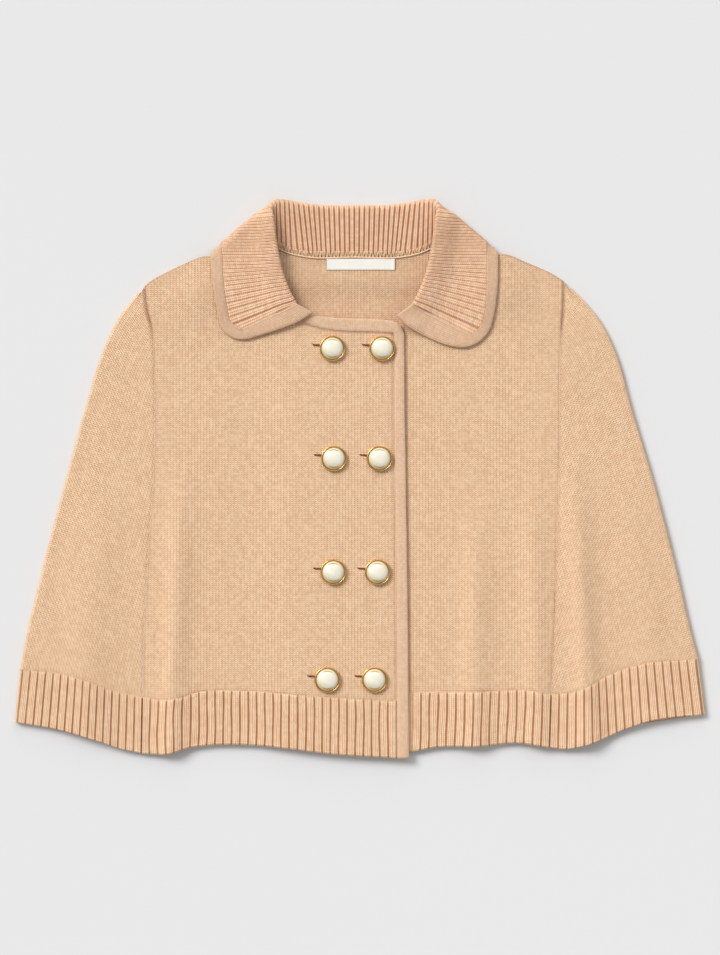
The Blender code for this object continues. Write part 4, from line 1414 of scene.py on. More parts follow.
@dataclass
class FrontPanel:
    """One front with its hem; the right one lies on top and has the buttonholes."""

    side: Side
    columns: int = 120
    rows: int = 120
    rounds: int = 200
    # Painted shade: along the seams by their dip, beside the band's edge and under the collar's
    # tip on the left front, and towards the collar on the shoulders
    dip_shade: float = 0.6
    darkest: float = 0.8
    band_shadow: float = 0.16
    band_shadow_past: float = 0.8
    band_shadow_reach: float = 2.4
    tip_shadow: float = 0.5
    tip_shadow_reach: float = 6.0
    shoulder_shade: float = 0.05
    shoulder_from: float = 90.0
    shoulder_over: float = 80.0

    def top_of(self) -> Height:
        """Give the height of this front's top."""
        return over_top if self.side is Side.RIGHT else under_top

    def lines(self) -> tuple[Curve, Curve, Curve, Curve]:
        """Give the panel's lower, upper, left and right lines.

        Returns:
            The four lines, the first two read across and the others up.
        """
        if self.side is Side.RIGHT:
            neckband = NECKBAND_SEAM + [NECKBAND_CORNER]
            mirrored = [(-x, y) for x, y in FRONT_NECK]
            top = chain((0.44, line(RIGHT_SHOULDER)),
                        (0.24, line(mirrored + [NECKBAND_SEAM[0]])), (0.32, line(neckband)))
            band = line([RIGHT_FRONT_RIB[-1], (36.4, -107.4), (34.4, 68.6), NECKBAND_CORNER])
            return line(RIGHT_FRONT_RIB), top, line(RIGHT_SEAM[::-1]), band
        top = chain((0.34, line(UNDERLAP_NECK)),
                    (0.26, line([UNDERLAP_NECK[-1]] + FRONT_NECK[::-1])),
                    (0.40, line(LEFT_SHOULDER[::-1])))
        edge = line([UNDERLAP_RIB, UNDERLAP_NECK[0]])
        return line([UNDERLAP_RIB] + LEFT_FRONT_RIB), top, edge, line(LEFT_SEAM[::-1])

    def build(self, loom: Loom) -> None:
        """Make the panel and its hem.

        Args:
            loom: The loom.
        """
        bottom, top, left, right = self.lines()
        word = self.side.name.lower()
        across = edged(self.columns, 0.02)
        up = edged(self.rows, 0.012)
        plan = patch(bottom, top, left, right, across, up)
        if self.side is Side.RIGHT:
            plan = relaxed(plan, across, up, self.rounds)
        plan = drawn_in(plan)
        x, y = plan[..., 0], plan[..., 1]
        if self.side is Side.RIGHT:
            borders = Borders(left=0.35, right=0.45, top=0.5, left_top=0.8)
        else:
            borders = Borders(left=0.0, right=0.35, top=0.5, right_top=0.8)
        dip = borders.dips(plan)
        height = self.top_of()(x, y)
        outer = raised(plan, height + ripples(x, y) - dip)
        # Paint shade into the seams and towards the collar; on the left front also beside the
        # band's edge and under the collar's tip
        painted_shade = np.clip(dip * self.dip_shade, 0.0, self.darkest)
        painted_shade = painted_shade + self.shoulder_shade * ramp((y - self.shoulder_from) / self.shoulder_over)
        if self.side is Side.LEFT:
            edge = np.interp(y, *np.array(BAND_EDGE_X[::-1]).T)
            beside = bell((x - edge - self.band_shadow_past) / self.band_shadow_reach)
            painted_shade = np.maximum(painted_shade, self.band_shadow * beside)
            at_tip = bell(apart(plan, TIP_SHADOW_SPOT) / self.tip_shadow_reach)
            painted_shade = np.maximum(painted_shade, self.tip_shadow * at_tip)
        cloth = Cloth(outer, raised(plan, height - WALL), straight_stitches(plan), painted_shade)
        panel = loom.shell(f"{word}_front_cloth", cloth)
        if self.side is Side.RIGHT:
            Buttonholes().build(loom, panel)
        loom.dress(panel, Finish.KNIT, f"{word}_front_panel")

        if self.side is Side.RIGHT:
            low, ribs, hidden = RIGHT_FRONT_HEM, 31, 0.0
        else:
            low, ribs, hidden = UNDERLAP_HEM + LEFT_FRONT_HEM, 29, 0.45
        HemRib(f"{word}_front_hem_rib", ribs, ("back_hem_rib_cloth",), hidden=hidden).build(
            loom, line(low), bottom, line([low[0], bottom(0.0)[0]]),
            line([low[-1], bottom(1.0)[0]]), self.top_of())


@dataclass
class Buttonholes:
    """Eight slits beside the buttons, each edged with a thread."""

    thread: float = 0.38
    thread_sides: int = 5
    sunk: float = 0.1
    edge_gap: float = 0.35
    spots: int = 24
    wobble: float = 0.25
    narrowing: float = 0.72
    cut_heights: Pair = (0.0, 30.0)

    def outline(self, x: float, y: float, grow: float) -> Array:
        """Give a slit's outline in plan, grown sideways.

        Args:
            x: The button's place across.
            y: The button's place up.
            grow: How much wider than the slit, on each side.

        Returns:
            Points round the slit.
        """
        half = np.array(BUTTONHOLE)
        spots = np.linspace(half[0, 0], half[-1, 0], self.spots)
        width = np.interp(spots, half[:, 0], half[:, 1]) * self.narrowing + grow
        reach = BUTTONHOLE[0][0]
        centre = y + BUTTONHOLE_RISE * np.maximum(0.0, spots / reach)
        centre = centre + self.wobble * np.sin(spots * 0.9)
        upper = np.column_stack([x + spots, centre + width])
        lower = np.column_stack([x + spots, centre - width])
        return np.concatenate([upper, lower[::-1]])

    def build(self, loom: Loom, panel: Piece) -> None:
        """Cut the slits in the panel and edge them.

        Args:
            loom: The loom.
            panel: The panel they are cut in.
        """
        for row, (y, *columns) in enumerate(BUTTON_ROWS, start=1):
            for word, x in zip(("right", "left"), columns):
                ring = self.outline(x, y, 0.0)
                count = len(ring)
                points = np.concatenate([np.column_stack([ring, np.full(count, z)])
                                         for z in self.cut_heights])
                faces = [tuple(range(count)), tuple(range(count, 2 * count))]
                faces += [(i, (i + 1) % count, count + (i + 1) % count, count + i)
                          for i in range(count)]
                blank = np.zeros((2 * count, 2))
                cutter = loom.mesh("slit_cutter", points, faces, blank, blank[:, 0])
                carve(panel, cutter)
                edge = self.outline(x, y, self.edge_gap)
                height = height_at(over_top, edge) - self.sunk
                route = np.column_stack([edge, height])
                thread = loom.cord(f"buttonhole_{word}_{row}", route, self.thread, True,
                                   self.thread_sides)
                loom.dress(thread, Finish.BAND)


@dataclass
class FrontBand:
    """The plain double band along the right front's neck edge and front edge."""

    thickness: float = BAND_RISE
    neck_rows: int = 40
    neck_end: float = 0.92
    corner_rows: int = 22
    edge_rows: int = 190
    edge_start: float = 0.03
    seam_gap: float = 0.3
    shares: tuple[float, ...] = (0.0, 0.02, 0.05, 0.1, 0.18, 0.3, 0.45, 0.6, 0.75, 0.85, 0.92,
                                 0.96, 0.985, 1.0)
    middle: int = 6
    edge_drop: float = 0.35
    wave: float = 0.05
    wave_length: float = 7.0
    # Painted shade along the band's seam, and in spots under the collar's two tips
    seam_shade: float = 0.35
    seam_reach: float = 0.05
    shadow_spots: tuple[Pair, ...] = (TIP_SHADOW_SPOT, RIGHT_TIP_SHADOW_SPOT)
    spot_shade: float = 0.6
    spot_reach: float = 4.6

    def rows(self) -> Array:
        """Pairs of points along the band: outer x, outer y, inner x, inner y.

        Returns:
            Four numbers for each pair.
        """
        neck = np.linspace(0.0, self.neck_end, self.neck_rows)
        top_y, bottom_y = BAND_EDGE_X[0][0], BAND_EDGE_X[-1][0]
        down = np.linspace(self.edge_start, 1.0, self.edge_rows)
        edge_y = top_y + (bottom_y - top_y) * down
        seam_y = np.minimum(edge_y, BAND_SEAM_X[0][0])
        bend = line(BAND_CORNER)(np.linspace(0.0, 1.0, self.corner_rows))
        return np.concatenate([
            np.hstack([line(NECKBAND_TOP)(neck), line(NECKBAND_SEAM)(neck)]), bend,
            np.column_stack([smooth(BAND_EDGE_X[::-1], edge_y)[:, 0], edge_y,
                             smooth(BAND_SEAM_X[::-1], seam_y)[:, 0], seam_y])])

    def build(self, loom: Loom) -> None:
        """Make the band.

        Args:
            loom: The loom.
        """
        rows = self.rows()
        outer, inner = rows[:, :2], rows[:, 2:]
        width = apart(outer, inner)[:, None]
        inner = inner + self.seam_gap * unit(outer - inner)
        share = np.array(self.shares)
        rise = self.thickness * (1 - np.abs(2 * share - 1) ** 5)
        rise = rise - self.edge_drop * (share > 0.99)
        plan = inner[:, None] + share[None, :, None] * (outer - inner)[:, None]
        height = height_at(over_top, plan)
        along = run_of(plan[:, self.middle])
        stitches = stitched(share[None, :] * width / BAND_WALE, along[:, None] / BAND_COURSE)
        # Painted shade: a dark line along the seam, and spots under the collar's tips
        dark = np.broadcast_to(self.seam_shade * bell(share / self.seam_reach), height.shape)
        for notch in self.shadow_spots:
            in_spot = bell(apart(plan, notch) / self.spot_reach)
            dark = np.maximum(dark, self.spot_shade * in_spot)
        wave = self.wave * np.sin(along / self.wave_length)
        top = raised(plan, height + rise + wave[:, None])
        cloth = Cloth(top, raised(plan, height - WALL), stitches, dark)
        loom.sheet("front_band", cloth, Finish.BAND, plan)


@dataclass
class SidePanel:
    """A side panel folded round the outer edge, with its hem; its wales follow that edge."""

    side: Side
    seam: Sequence
    edge: Sequence
    rib: Sequence
    hem: Sequence
    ribs: int
    columns: int = 60
    rows: int = 120
    under_columns: int = 12
    bend_steps: int = 8
    bend_blend: float = 0.75
    bend_flat: float = 0.55
    gap: float = 0.2
    # Painted shade along the seams, by the depth of their dip, and its most
    dip_shade: float = 0.45
    darkest: float = 0.7

    def wrap(self, loom: Loom, name: str, finish: Finish, curves: dict[str, Curve],
             up: Array, across: Array, hem: Optional[HemRib]) -> None:
        """Make a wall folded round the outer edge, from the front seam to the back seam.

        Args:
            loom: The loom.
            name: Name of the CAD node that it stands for.
            finish: Its finish.
            curves: The lines seam, edge and back, read up, and the lines high, low, under_high
                and under_low that end the two layers, read from the seam to the edge.
            up: Shares for the rows.
            across: Shares for the upper layer's columns.
            hem: The ribs, for a hem.
        """
        edge_points = curves["edge"](up)
        tangent = unit(np.gradient(edge_points, up, axis=0))
        outward = np.stack([-tangent[:, 1], tangent[:, 0]], axis=1)
        outward *= self.side.value * np.sign(outward[:1, 0])
        radius = height_at(under_top, edge_points) / 2
        centre = edge_points - outward * radius[:, None]
        under = np.linspace(0.0, 1.0, self.under_columns + 1)

        def layer(start: Array, low: Array, high: Array, spots: Array) -> Array:
            """Fill one layer between its seam and the centre line of the bend.

            Args:
                start: Points of the seam.
                low: Points of the lower end.
                high: Points of the upper end.
                spots: Shares for the columns.

            Returns:
                Points by row and column.
            """
            plan = patch(lambda _: low, lambda _: high, lambda _: start,
                         lambda _: edge_points, spots, up)
            plan = plan + spots[None, :, None] * (centre - edge_points)[:, None]
            plan = drawn_in(plan, self.gap)
            plan[1:-1, -1] = centre[1:-1]
            return plan

        upper = layer(curves["seam"](up), curves["low"](across), curves["high"](across), across)
        lower = layer(curves["back"](up), curves["under_low"](under),
                      curves["under_high"](under), under)[:, ::-1]
        lower[:, 0] = upper[:, -1]
        ends = upper[:, -1]

        x, y = upper[..., 0], upper[..., 1]
        blend = ramp((across - self.bend_blend) / (1 - self.bend_blend))[None, :]
        level = under_top(x, y) * (1 - blend) + 2 * radius[:, None] * blend
        level = level + ripples(x, y) * (1 - blend)
        painted_shade = np.zeros_like(level)
        height = level
        steps = 1
        if hem is not None:
            steps = hem.steps
            rise, painted_shade = hem.relief(upper, across * hem.ribs)
            height = level + rise * (1 - self.bend_flat * blend ** 3)
        else:
            dip = Borders(left=0.35, right=0.0, top=0.6, left_top=0.8).dips(upper)
            height = level - dip
            # Painted shade along the seams
            painted_shade = np.clip(dip * self.dip_shade, 0.0, self.darkest)
        angles = np.linspace(math.pi / 2, -math.pi / 2, self.bend_steps + 1)[1:-1]

        def bend(wall: float) -> Array:
            """Go round the outer edge at a depth inside the outer surface.

            Args:
                wall: The depth.

            Returns:
                Points by row and step of the bend.
            """
            turned = radius - wall
            plan = ends[:, None] + outward[:, None] * (turned[:, None]
                                                       * np.cos(angles))[..., None]
            return raised(plan, radius[:, None] + turned[:, None] * np.sin(angles))

        inner_top = raised(upper, level - WALL)[:, ::steps]
        outer = np.concatenate([raised(upper, height), bend(0.0), raised(lower, 0.0)], axis=1)
        inner = np.concatenate([inner_top, bend(WALL), raised(lower, WALL)], axis=1)
        middle = np.concatenate([raised(upper, level), bend(0.0), raised(lower, 0.0)], axis=1)
        stitches = self.stitches(middle, edge_points, tangent, len(across) - 1)
        if hem is not None:
            stitches[:, :len(across)] = hem.stitches(upper, across * hem.ribs)
        rest = np.zeros((len(up), outer.shape[1] - len(across)))
        cloth = Cloth(outer, inner, stitches, np.hstack([painted_shade, rest]), len(across) - 1,
                      inner_top.shape[1] - 1)
        loom.sheet(name, cloth, finish, middle)

    def stitches(self, surface: Array, edge: Array, tangent: Array, column: int) -> Array:
        """Wales that follow the outer edge, and courses square to it.

        Args:
            surface: The panel's surface.
            edge: Its outer edge.
            tangent: The edge's direction.
            column: The column that lies at the edge.

        Returns:
            Wales and courses at each point.
        """
        far = run_of(surface, 1)
        far = far - far[:, column:column + 1]
        lean = np.abs(tangent[:, 0:1])
        upright = np.abs(tangent[:, 1:2])
        along = run_of(edge)[:, None]
        return stitched(far * upright / WALE, (along + np.abs(far) * lean) / COURSE)

    def build(self, loom: Loom) -> None:
        """Make the panel and its hem.

        Args:
            loom: The loom.
        """
        word = self.side.name.lower()
        top = line([self.seam[0], self.edge[0]])
        under_rib = line([self.rib[0], self.rib[-1]])
        seam, edge = line(self.seam[::-1]), line(self.edge[::-1])
        panel = {"seam": seam, "edge": edge, "back": seam, "low": line(self.rib), "high": top,
                 "under_low": under_rib, "under_high": top}
        self.wrap(loom, f"{word}_side_panel", Finish.KNIT, panel, edged(self.rows, 0.012),
                  edged(self.columns, 0.03), None)
        back = back_hem(self.hem[0])
        hem = HemRib(f"{word}_side_hem_rib", self.ribs, ("back_hem_rib_cloth",))
        curves = {"seam": line([self.hem[0], self.rib[0]]),
                  "edge": line([self.hem[-1], self.rib[-1]]),
                  "back": line([back, self.rib[0]]), "low": line(self.hem),
                  "high": line(self.rib), "under_low": line([back, self.hem[-1]]),
                  "under_high": under_rib}
        self.wrap(loom, f"{word}_side_hem_rib", Finish.RIB, curves, hem.rows(),
                  hem.phases() / hem.ribs, hem)


# Collar


@dataclass
class Collar:
    """The ribbed collar: a stand that rolls over into a wide fall, in one strip."""

    steps: int = 8
    side: float = 0.34
    rise: float = 1.2
    fall_rise: float = 0.42
    sink: float = 0.3
    flat_below: float = 2.0
    trim_covers: float = 0.4
    under_trim: float = 4.0
    # The crosswise line near the collar's front ends, beyond which the ribs are faint
    end_line: float = 40.25
    end_reach: float = 0.09
    end_depth: float = 0.5
    plain_over: float = 0.15
    plain_share: float = 0.8
    # The stand's gap to the neck seam at the back, and what is added to it at the front
    start_gap: Pair = (0.35, 2.2)
    # From which rib the seam's gap widens and the stand is on the front, and over how many ribs
    gap_widens: Pair = (12.0, 5.0)
    reaches_front: Pair = (17.0, 5.0)
    stand_top: float = 0.9
    hang: float = 2.5
    first_reaches: Pair = (0.07, 0.13)
    fall_start: float = 0.2
    fall_columns: int = 22
    settle: float = 26.0
    # Painted shade in the furrows between ribs: how far it reaches, and how strong it is on the
    # stand, on the fall and on the line where the ribs end
    shade: float = 0.29
    stand_painted_shade: float = 0.8
    fall_painted_shade: float = 0.12
    end_painted_shade: float = 0.9
    # The linking thread's reach from the centre back, in ribs, and its loops, with the painted
    # shade along the stand's lowest row beside it
    linked: float = 16.0
    loop: float = 3.1
    loop_points: int = 12
    loop_height: float = 5.4
    loop_shade: float = 0.5
    loop_rise: float = 0.4
    loop_radius: float = 0.66

    def tables(self, ribs: Array) -> tuple[Array, Array, Array]:
        """Read the roll line, its height and the neck seam at rib numbers from the back."""
        roll = smooth(ROLL, ribs)
        return roll[:, 0:2], roll[:, 2], roll[:, 3:5]

    def fall_edge(self, side: Side, ribs: Array) -> Array:
        """Read where the ribs end, with the fall folded out flat on the front."""
        return smooth(FALL_EDGE, ribs)[:, side.columns()]

    def on_front(self, ribs: Array) -> Array:
        """Share of the fall that lies on the front in place of behind the neck."""
        return ramp((ribs - ROUND_NECK[0]) / (ROUND_NECK[1] - ROUND_NECK[0]))

    def lie(self, side: Side, plan: Array) -> Array:
        """Height of the collar's middle surface where it lies on the front."""
        top = cover_top(side.value * plan[..., 0], plan[..., 1]) + COLLAR_COVER
        return top + COLLAR_WALL / 2

    def fold_under(self, plan: Array, top: Array) -> Array:
        """Fold the flat-drawn fall round the shoulder line, under the garment.

        Args:
            plan: Flat-drawn points.
            top: Their height on the front.

        Returns:
            The folded points, with their heights.
        """
        corner, end = np.array(FOLD_CORNER), np.array(FOLD_END)
        along = unit(end - corner)
        outward = np.array([-along[1], along[0]])
        radius = (top - FLOOR_MIDDLE) / 2
        past = (plan - corner) @ outward + COLLAR_WALL / 2
        turn = np.clip((past + radius) / radius, 0.0, math.pi)
        below = np.maximum(past + radius - math.pi * radius, 0.0)
        flat = past < -radius
        reach = np.where(flat, past, -radius + radius * np.sin(turn) - below)
        height = np.where(flat, top, FLOOR_MIDDLE + radius * (1 + np.cos(turn)))
        return np.dstack([plan + (reach - past)[..., None] * outward, height])

    def fall_path(self, side: Side, ribs: Array, reaches: Array) -> Array:
        """Give the fall's middle surface, as out, y and z.

        Args:
            side: Which half.
            ribs: Rib numbers from the centre back.
            reaches: Shares of the fall's width from the roll.

        Returns:
            Points by rib and reach.
        """
        roll, roll_z, _ = self.tables(ribs)
        edge = self.fall_edge(side, ribs)
        flat = roll[:, None] + reaches[None, :, None] * (edge - roll)[:, None]
        distance = apart(flat, roll[:, None])
        lie = self.lie(side, flat)
        start = np.maximum(roll_z[:, None] + ROLL_RADIUS - lie, 0.0)
        front = self.fold_under(flat, lie + start * (1 - ramp(distance / self.settle)))

        hanging = np.zeros_like(front)
        hanging[..., 0] = roll[:, None, 0]
        hanging[..., 1] = roll[:, None, 1] - reaches[None, :] * BACK_FALL
        depth = np.maximum(roll_z[:, None] - ROLL_RADIUS, FLOOR_MIDDLE)
        hanging[..., 2] = FLOOR_MIDDLE + (depth - FLOOR_MIDDLE) * (1 - ramp(reaches * self.hang))
        share = self.on_front(ribs)[:, None, None]
        return hanging * (1 - share) + front * share

    def middle(self, side: Side, ribs: Array) -> Array:
        """Give the collar's middle surface on one half, from the neck seam to its ribs' end.

        Args:
            side: Which half.
            ribs: Rib numbers from the centre back.

        Returns:
            Points by rib and row, as out, y and z.
        """
        roll, roll_z, seam = self.tables(ribs)
        apex = np.column_stack([roll, roll_z])
        start, length = self.reaches_front
        front_share = ramp((ribs - start) / length)
        panel_top = under_top if side is Side.LEFT else over_top
        x, y = side.value * seam[:, 0], seam[:, 1]
        level = back_top(x, y) * (1 - front_share) + panel_top(x, y) * front_share - WALL / 2
        start = np.column_stack([seam, level])
        widens, over = self.gap_widens
        gap = self.start_gap[0] + self.start_gap[1] * ramp((ribs - widens) / over)
        start = start + unit(apex - start) * gap[:, None]

        reaches = np.concatenate([self.first_reaches,
                                  np.linspace(self.fall_start, 1.0, self.fall_columns)])
        fall = self.fall_path(side, ribs, reaches)
        first = fall[:, 2]
        from_seam, from_fall = unit(apex - start), unit(apex - first)
        forward = unit(from_seam + from_fall)
        across = from_seam - from_fall
        across = unit(across - (across * forward).sum(axis=1, keepdims=True) * forward)
        hub = apex - forward * ROLL_RADIUS
        inner_foot, outer_foot = hub - across * ROLL_RADIUS, hub + across * ROLL_RADIUS
        straight = apart(inner_foot, start) + apart(outer_foot, first)
        crossed = apart(outer_foot, start) + apart(inner_foot, first)
        way = np.where(crossed < straight, -1.0, 1.0)[:, None]
        stand = [start + share * (hub - way * across * ROLL_RADIUS - start)
                 for share in np.linspace(0.0, self.stand_top, STAND_ROWS)]
        bend = [hub + ROLL_RADIUS * (math.sin(turn) * forward - math.cos(turn) * way * across)
                for turn in np.linspace(0.0, math.pi, BEND_ROWS)]
        fall = [fall[:, i] for i in range(2, fall.shape[1])]
        return np.stack([*stand, *bend, *fall], axis=1)

    def build(self, loom: Loom) -> None:
        """Make the collar with its fine ribs.

        Args:
            loom: The loom.
        """
        numbers, stations = np.array(RIB_SPACING).T
        count = np.linspace(0.0, numbers[-1], self.steps * int(numbers[-1]) + 1)
        ribs = np.interp(count, numbers, stations)
        halves = []
        for side in (Side.RIGHT, Side.LEFT):
            half = self.middle(side, ribs)
            half[..., 0] *= side.value
            halves.append(half)
        grid = np.concatenate([halves[0][::-1], halves[1][1:]], axis=0)
        phase = np.concatenate([-count[::-1], count[1:]])
        relief = rib_relief(phase, self.side)[:, None]
        normal = -normals_of(grid)
        over_roll = (np.arange(grid.shape[1]) < STAND_ROWS + BEND_ROWS // 2 + 1)[None, :]
        off_floor = ramp((grid[..., 2] - self.flat_below) / self.flat_below)
        shown = np.where(over_roll, 1.0, off_floor)
        to_end = apart(grid, grid[:, -1:])
        shown = shown * ramp((to_end - self.trim_covers) / self.under_trim)
        shown[:, 0] = 0.0
        at_end = np.concatenate([ribs[::-1], ribs[1:]])[:, None]
        plain = ramp((at_end - self.end_line) / self.plain_over)
        on_fall = (np.arange(grid.shape[1]) > STAND_ROWS)[None, :]
        at_line = self.end_depth * bell((at_end - self.end_line) / self.end_reach) * on_fall
        height = np.where(on_fall, self.fall_rise, self.rise)
        faint = 1 - self.plain_share * plain * on_fall
        rise = (relief * height - self.sink) * shown * faint - at_line
        outer = grid + normal * (COLLAR_WALL / 2 + rise)[..., None]
        inner = grid - normal * (COLLAR_WALL / 2)
        above_floor(outer, inner)
        inner = inner[::self.steps // 2]
        stitches = stitched(rib_stitches(phase, 1.0, 0.2)[:, None], run_of(grid, 1) / COURSE)
        # Painted shade in the furrows between ribs, on the line where they end, and along the
        # stand's lowest row
        strength = np.where(on_fall, self.fall_painted_shade, self.stand_painted_shade)
        painted_shade = rib_shade(phase, self.shade)[:, None] * shown * strength
        painted_shade = painted_shade * (1 - plain * on_fall) + self.end_painted_shade * at_line
        painted_shade = np.clip(painted_shade, 0.0, 1.0)
        painted_shade[:, 0] = self.loop_shade
        cloth = Cloth(*(part.swapaxes(0, 1) for part in (outer, inner, stitches, painted_shade)))
        loom.sheet("collar", cloth, Finish.COLLAR, grid.transpose(1, 0, 2))
        at_back = at_end[:, 0] < self.linked
        self.link(loom, outer[at_back, 0], outer[at_back, 1], normal[at_back, 0])

    def link(self, loom: Loom, low: Array, high: Array, normal: Array) -> None:
        """Lay the looped thread that links the stand's ribs to the back's neck.

        Args:
            loom: The loom.
            low: Points of the stand's lowest row.
            high: Points of the next row.
            normal: The way out of the cloth at the lowest row.
        """
        up = unit(high - low)
        along = run_of(low)
        spots = np.arange(0.0, along[-1], self.loop / self.loop_points)

        def read(values: Array) -> Array:
            """Read a row of the collar at the thread's spots."""
            return np.column_stack([np.interp(spots, along, part) for part in values.T])

        swing = self.loop_height * (0.5 + 0.5 * np.sin(2 * math.pi * spots / self.loop))
        route = read(low) + read(up) * swing[:, None] + read(normal) * self.loop_rise
        loom.dress(loom.cord("neck_linking_thread", route, self.loop_radius), Finish.BAND)


@dataclass
class CollarTrim:
    """The plain tubular strip round the collar's outer edge and its two front ends."""

    collar: Collar
    gap: float = -0.9
    gap_at_fold: float = -0.5
    gap_at_roll: float = -0.2
    shares: tuple[float, ...] = (0.0, 0.015, 0.05, 0.1, 0.17, 0.26, 0.38, 0.5, 0.62, 0.74, 0.84,
                                 0.91, 0.96, 0.985, 1.0)
    middle: int = 7
    # The row of stitches beside the trim's inner edge: its share of the width, and its half width
    row_share: float = 0.2
    row_reach: float = 0.035
    row_depth: float = 0.2
    # Painted shade: a little over the whole trim, more at its inner edge, in the row of stitches
    # and towards its outer rim
    shade: float = 0.14
    edge_shade: float = 0.4
    row_shade: float = 0.2
    rim_shade: float = 0.25

    def half(self, side: Side) -> Array:
        """Give the trim's inner and outer lines on one half, from the back to the front.

        Args:
            side: Which half.

        Returns:
            Two points for each place along it.
        """
        stations = np.concatenate([np.arange(0.0, 12.0, 0.5), np.arange(12.0, 34.01, 0.25)])
        roll, _, _ = self.collar.tables(stations)
        edge = self.collar.fall_edge(side, stations)
        share = self.collar.on_front(stations)
        widths = apart(edge, roll) * share + BACK_FALL * (1 - share)
        at_fold = ramp((stations - 17.0) / 2.0) * (1 - ramp((stations - 28.0) / 3.0))
        gaps = self.gap + (self.gap_at_fold - self.gap) * at_fold
        strip = []
        for station, width, gap in zip(stations, widths, gaps):
            reaches = np.array([1 + gap / width, 1 + TRIM_WIDTH / width])
            strip.append(self.collar.fall_path(side, np.array([station]), reaches)[0])

        steps = np.arange(36.0, 46.01, 0.125)
        outline = smooth(TRIM_EDGE, steps)
        far = outline[:, side.columns()]
        near = self.collar.fall_edge(side, steps)
        roll_end, _, _ = self.collar.tables(np.array([float(RIBS_HALF)]))
        edge_end = self.collar.fall_edge(side, np.array([float(RIBS_HALF)]))
        along_end = roll_end + outline[:, 4:5] * (edge_end - roll_end)
        near = np.where((steps > RIBS_HALF)[:, None], along_end, near)
        across = far - near
        gap = self.gap + (self.gap_at_roll - self.gap) * ramp((steps - 43.0) / 2.0)
        near = near + gap[:, None] * unit(across)
        plan = np.stack([near, far], axis=1)
        strip = np.concatenate([np.stack(strip), raised(plan, self.collar.lie(side, plan))])
        strip[..., 0] *= side.value
        return strip

    def build(self, loom: Loom) -> None:
        """Make the trim.

        Args:
            loom: The loom.
        """
        strip = np.concatenate([self.half(Side.RIGHT)[::-1], self.half(Side.LEFT)[1:]])
        near, far = strip[:, :1], strip[:, 1:]
        share = np.array(self.shares)
        row = bell((share - self.row_share) / self.row_reach)
        middle = near + share[None, :, None] * (far - near)
        half_wall = TRIM_WALL / 2 * np.clip(1 - np.abs(2 * share - 1) ** 4.5, 0.1, 1.0) ** 0.6
        near_edge = TRIM_WALL / 2 * (0.8 + 0.32 * ramp(share / 0.1))
        half_wall = np.where(share < 0.3, near_edge, half_wall + 0.12 * (share < 0.6))
        half_wall = half_wall - self.row_depth * row
        offset = -normals_of(middle) * half_wall[None, :, None]
        outer, inner = middle + offset, middle - offset
        above_floor(outer, inner)
        along = run_of(middle[:, self.middle])[:, None]
        stitches = stitched(share[None, :] * TRIM_WIDTH / TRIM_WALE, along / BAND_COURSE)
        # Painted shade across the trim
        dark = self.shade + self.edge_shade * bell(share / 0.03) + self.row_shade * row
        dark = dark + self.rim_shade * ramp((share - 0.86) / 0.14)
        painted_shade = np.broadcast_to(dark[None, :], middle.shape[:2])
        cloth = Cloth(outer, inner, stitches, painted_shade)
        loom.sheet("collar_trim", cloth, Finish.BAND, middle)


@dataclass
class NeckLabel:
    """The bare woven label, its ends folded under and tacked."""

    bow: float = 0.35
    fold: float = 2.2
    stitch: float = 0.22
    warp: float = 0.45
    weft: float = 0.5
    lift: float = 0.15
    tacks: int = 4
    tack_pitch: float = 4.6
    tack_span: Pair = (-1.3, 0.9)
    tack_points: int = 9
    tack_rise: float = 0.75

    def build(self, loom: Loom) -> None:
        """Make the label and the tacking at its two ends.

        Args:
            loom: The loom.
        """
        x, y = LABEL_CENTRE
        wide, deep, thick = LABEL_SIZE
        across = (edged(48, 0.04) - 0.5) * wide
        up = (edged(10, 0.06) - 0.5) * deep
        plan = np.stack(np.meshgrid(x + across, y + up), axis=-1)
        out = np.abs(plan[..., 0] - x)
        base = height_at(back_top, plan) + self.lift
        ends = ramp((out - (wide / 2 - self.fold)) / 0.5)
        bow = self.bow * np.sin(math.pi * (plan[..., 0] - x + wide / 2) / wide)
        top = base + thick * (0.65 + 0.35 * ends) + bow
        round_off = 0.12 * bell((np.abs(plan[..., 1] - y) - deep / 2) / 0.35)
        stitches = stitched(plan[..., 0] / self.warp, plan[..., 1] / self.weft)
        painted_shade = np.zeros_like(out)
        cloth = Cloth(raised(plan, top - round_off), raised(plan, base), stitches, painted_shade)
        loom.sheet("neck_label", cloth, Finish.LABEL, plan)
        for word, way in (("right", -1), ("left", 1)):
            for row in range(self.tacks):
                spot = y + deep * (row - (self.tacks - 1) / 2) / self.tack_pitch
                ends_x = x + way * (wide / 2 + np.array(self.tack_span))
                hump = np.sin(np.linspace(0.0, math.pi, self.tack_points))
                route = np.column_stack([np.linspace(*ends_x, self.tack_points),
                                         np.full_like(hump, spot),
                                         WALL + NECK_LIFT + 0.2 + hump * self.tack_rise])
                tack = loom.cord(f"label_tack_{word}_{row + 1}", route, self.stitch, sides=5)
                loom.dress(tack, Finish.BAND)


# Buttons


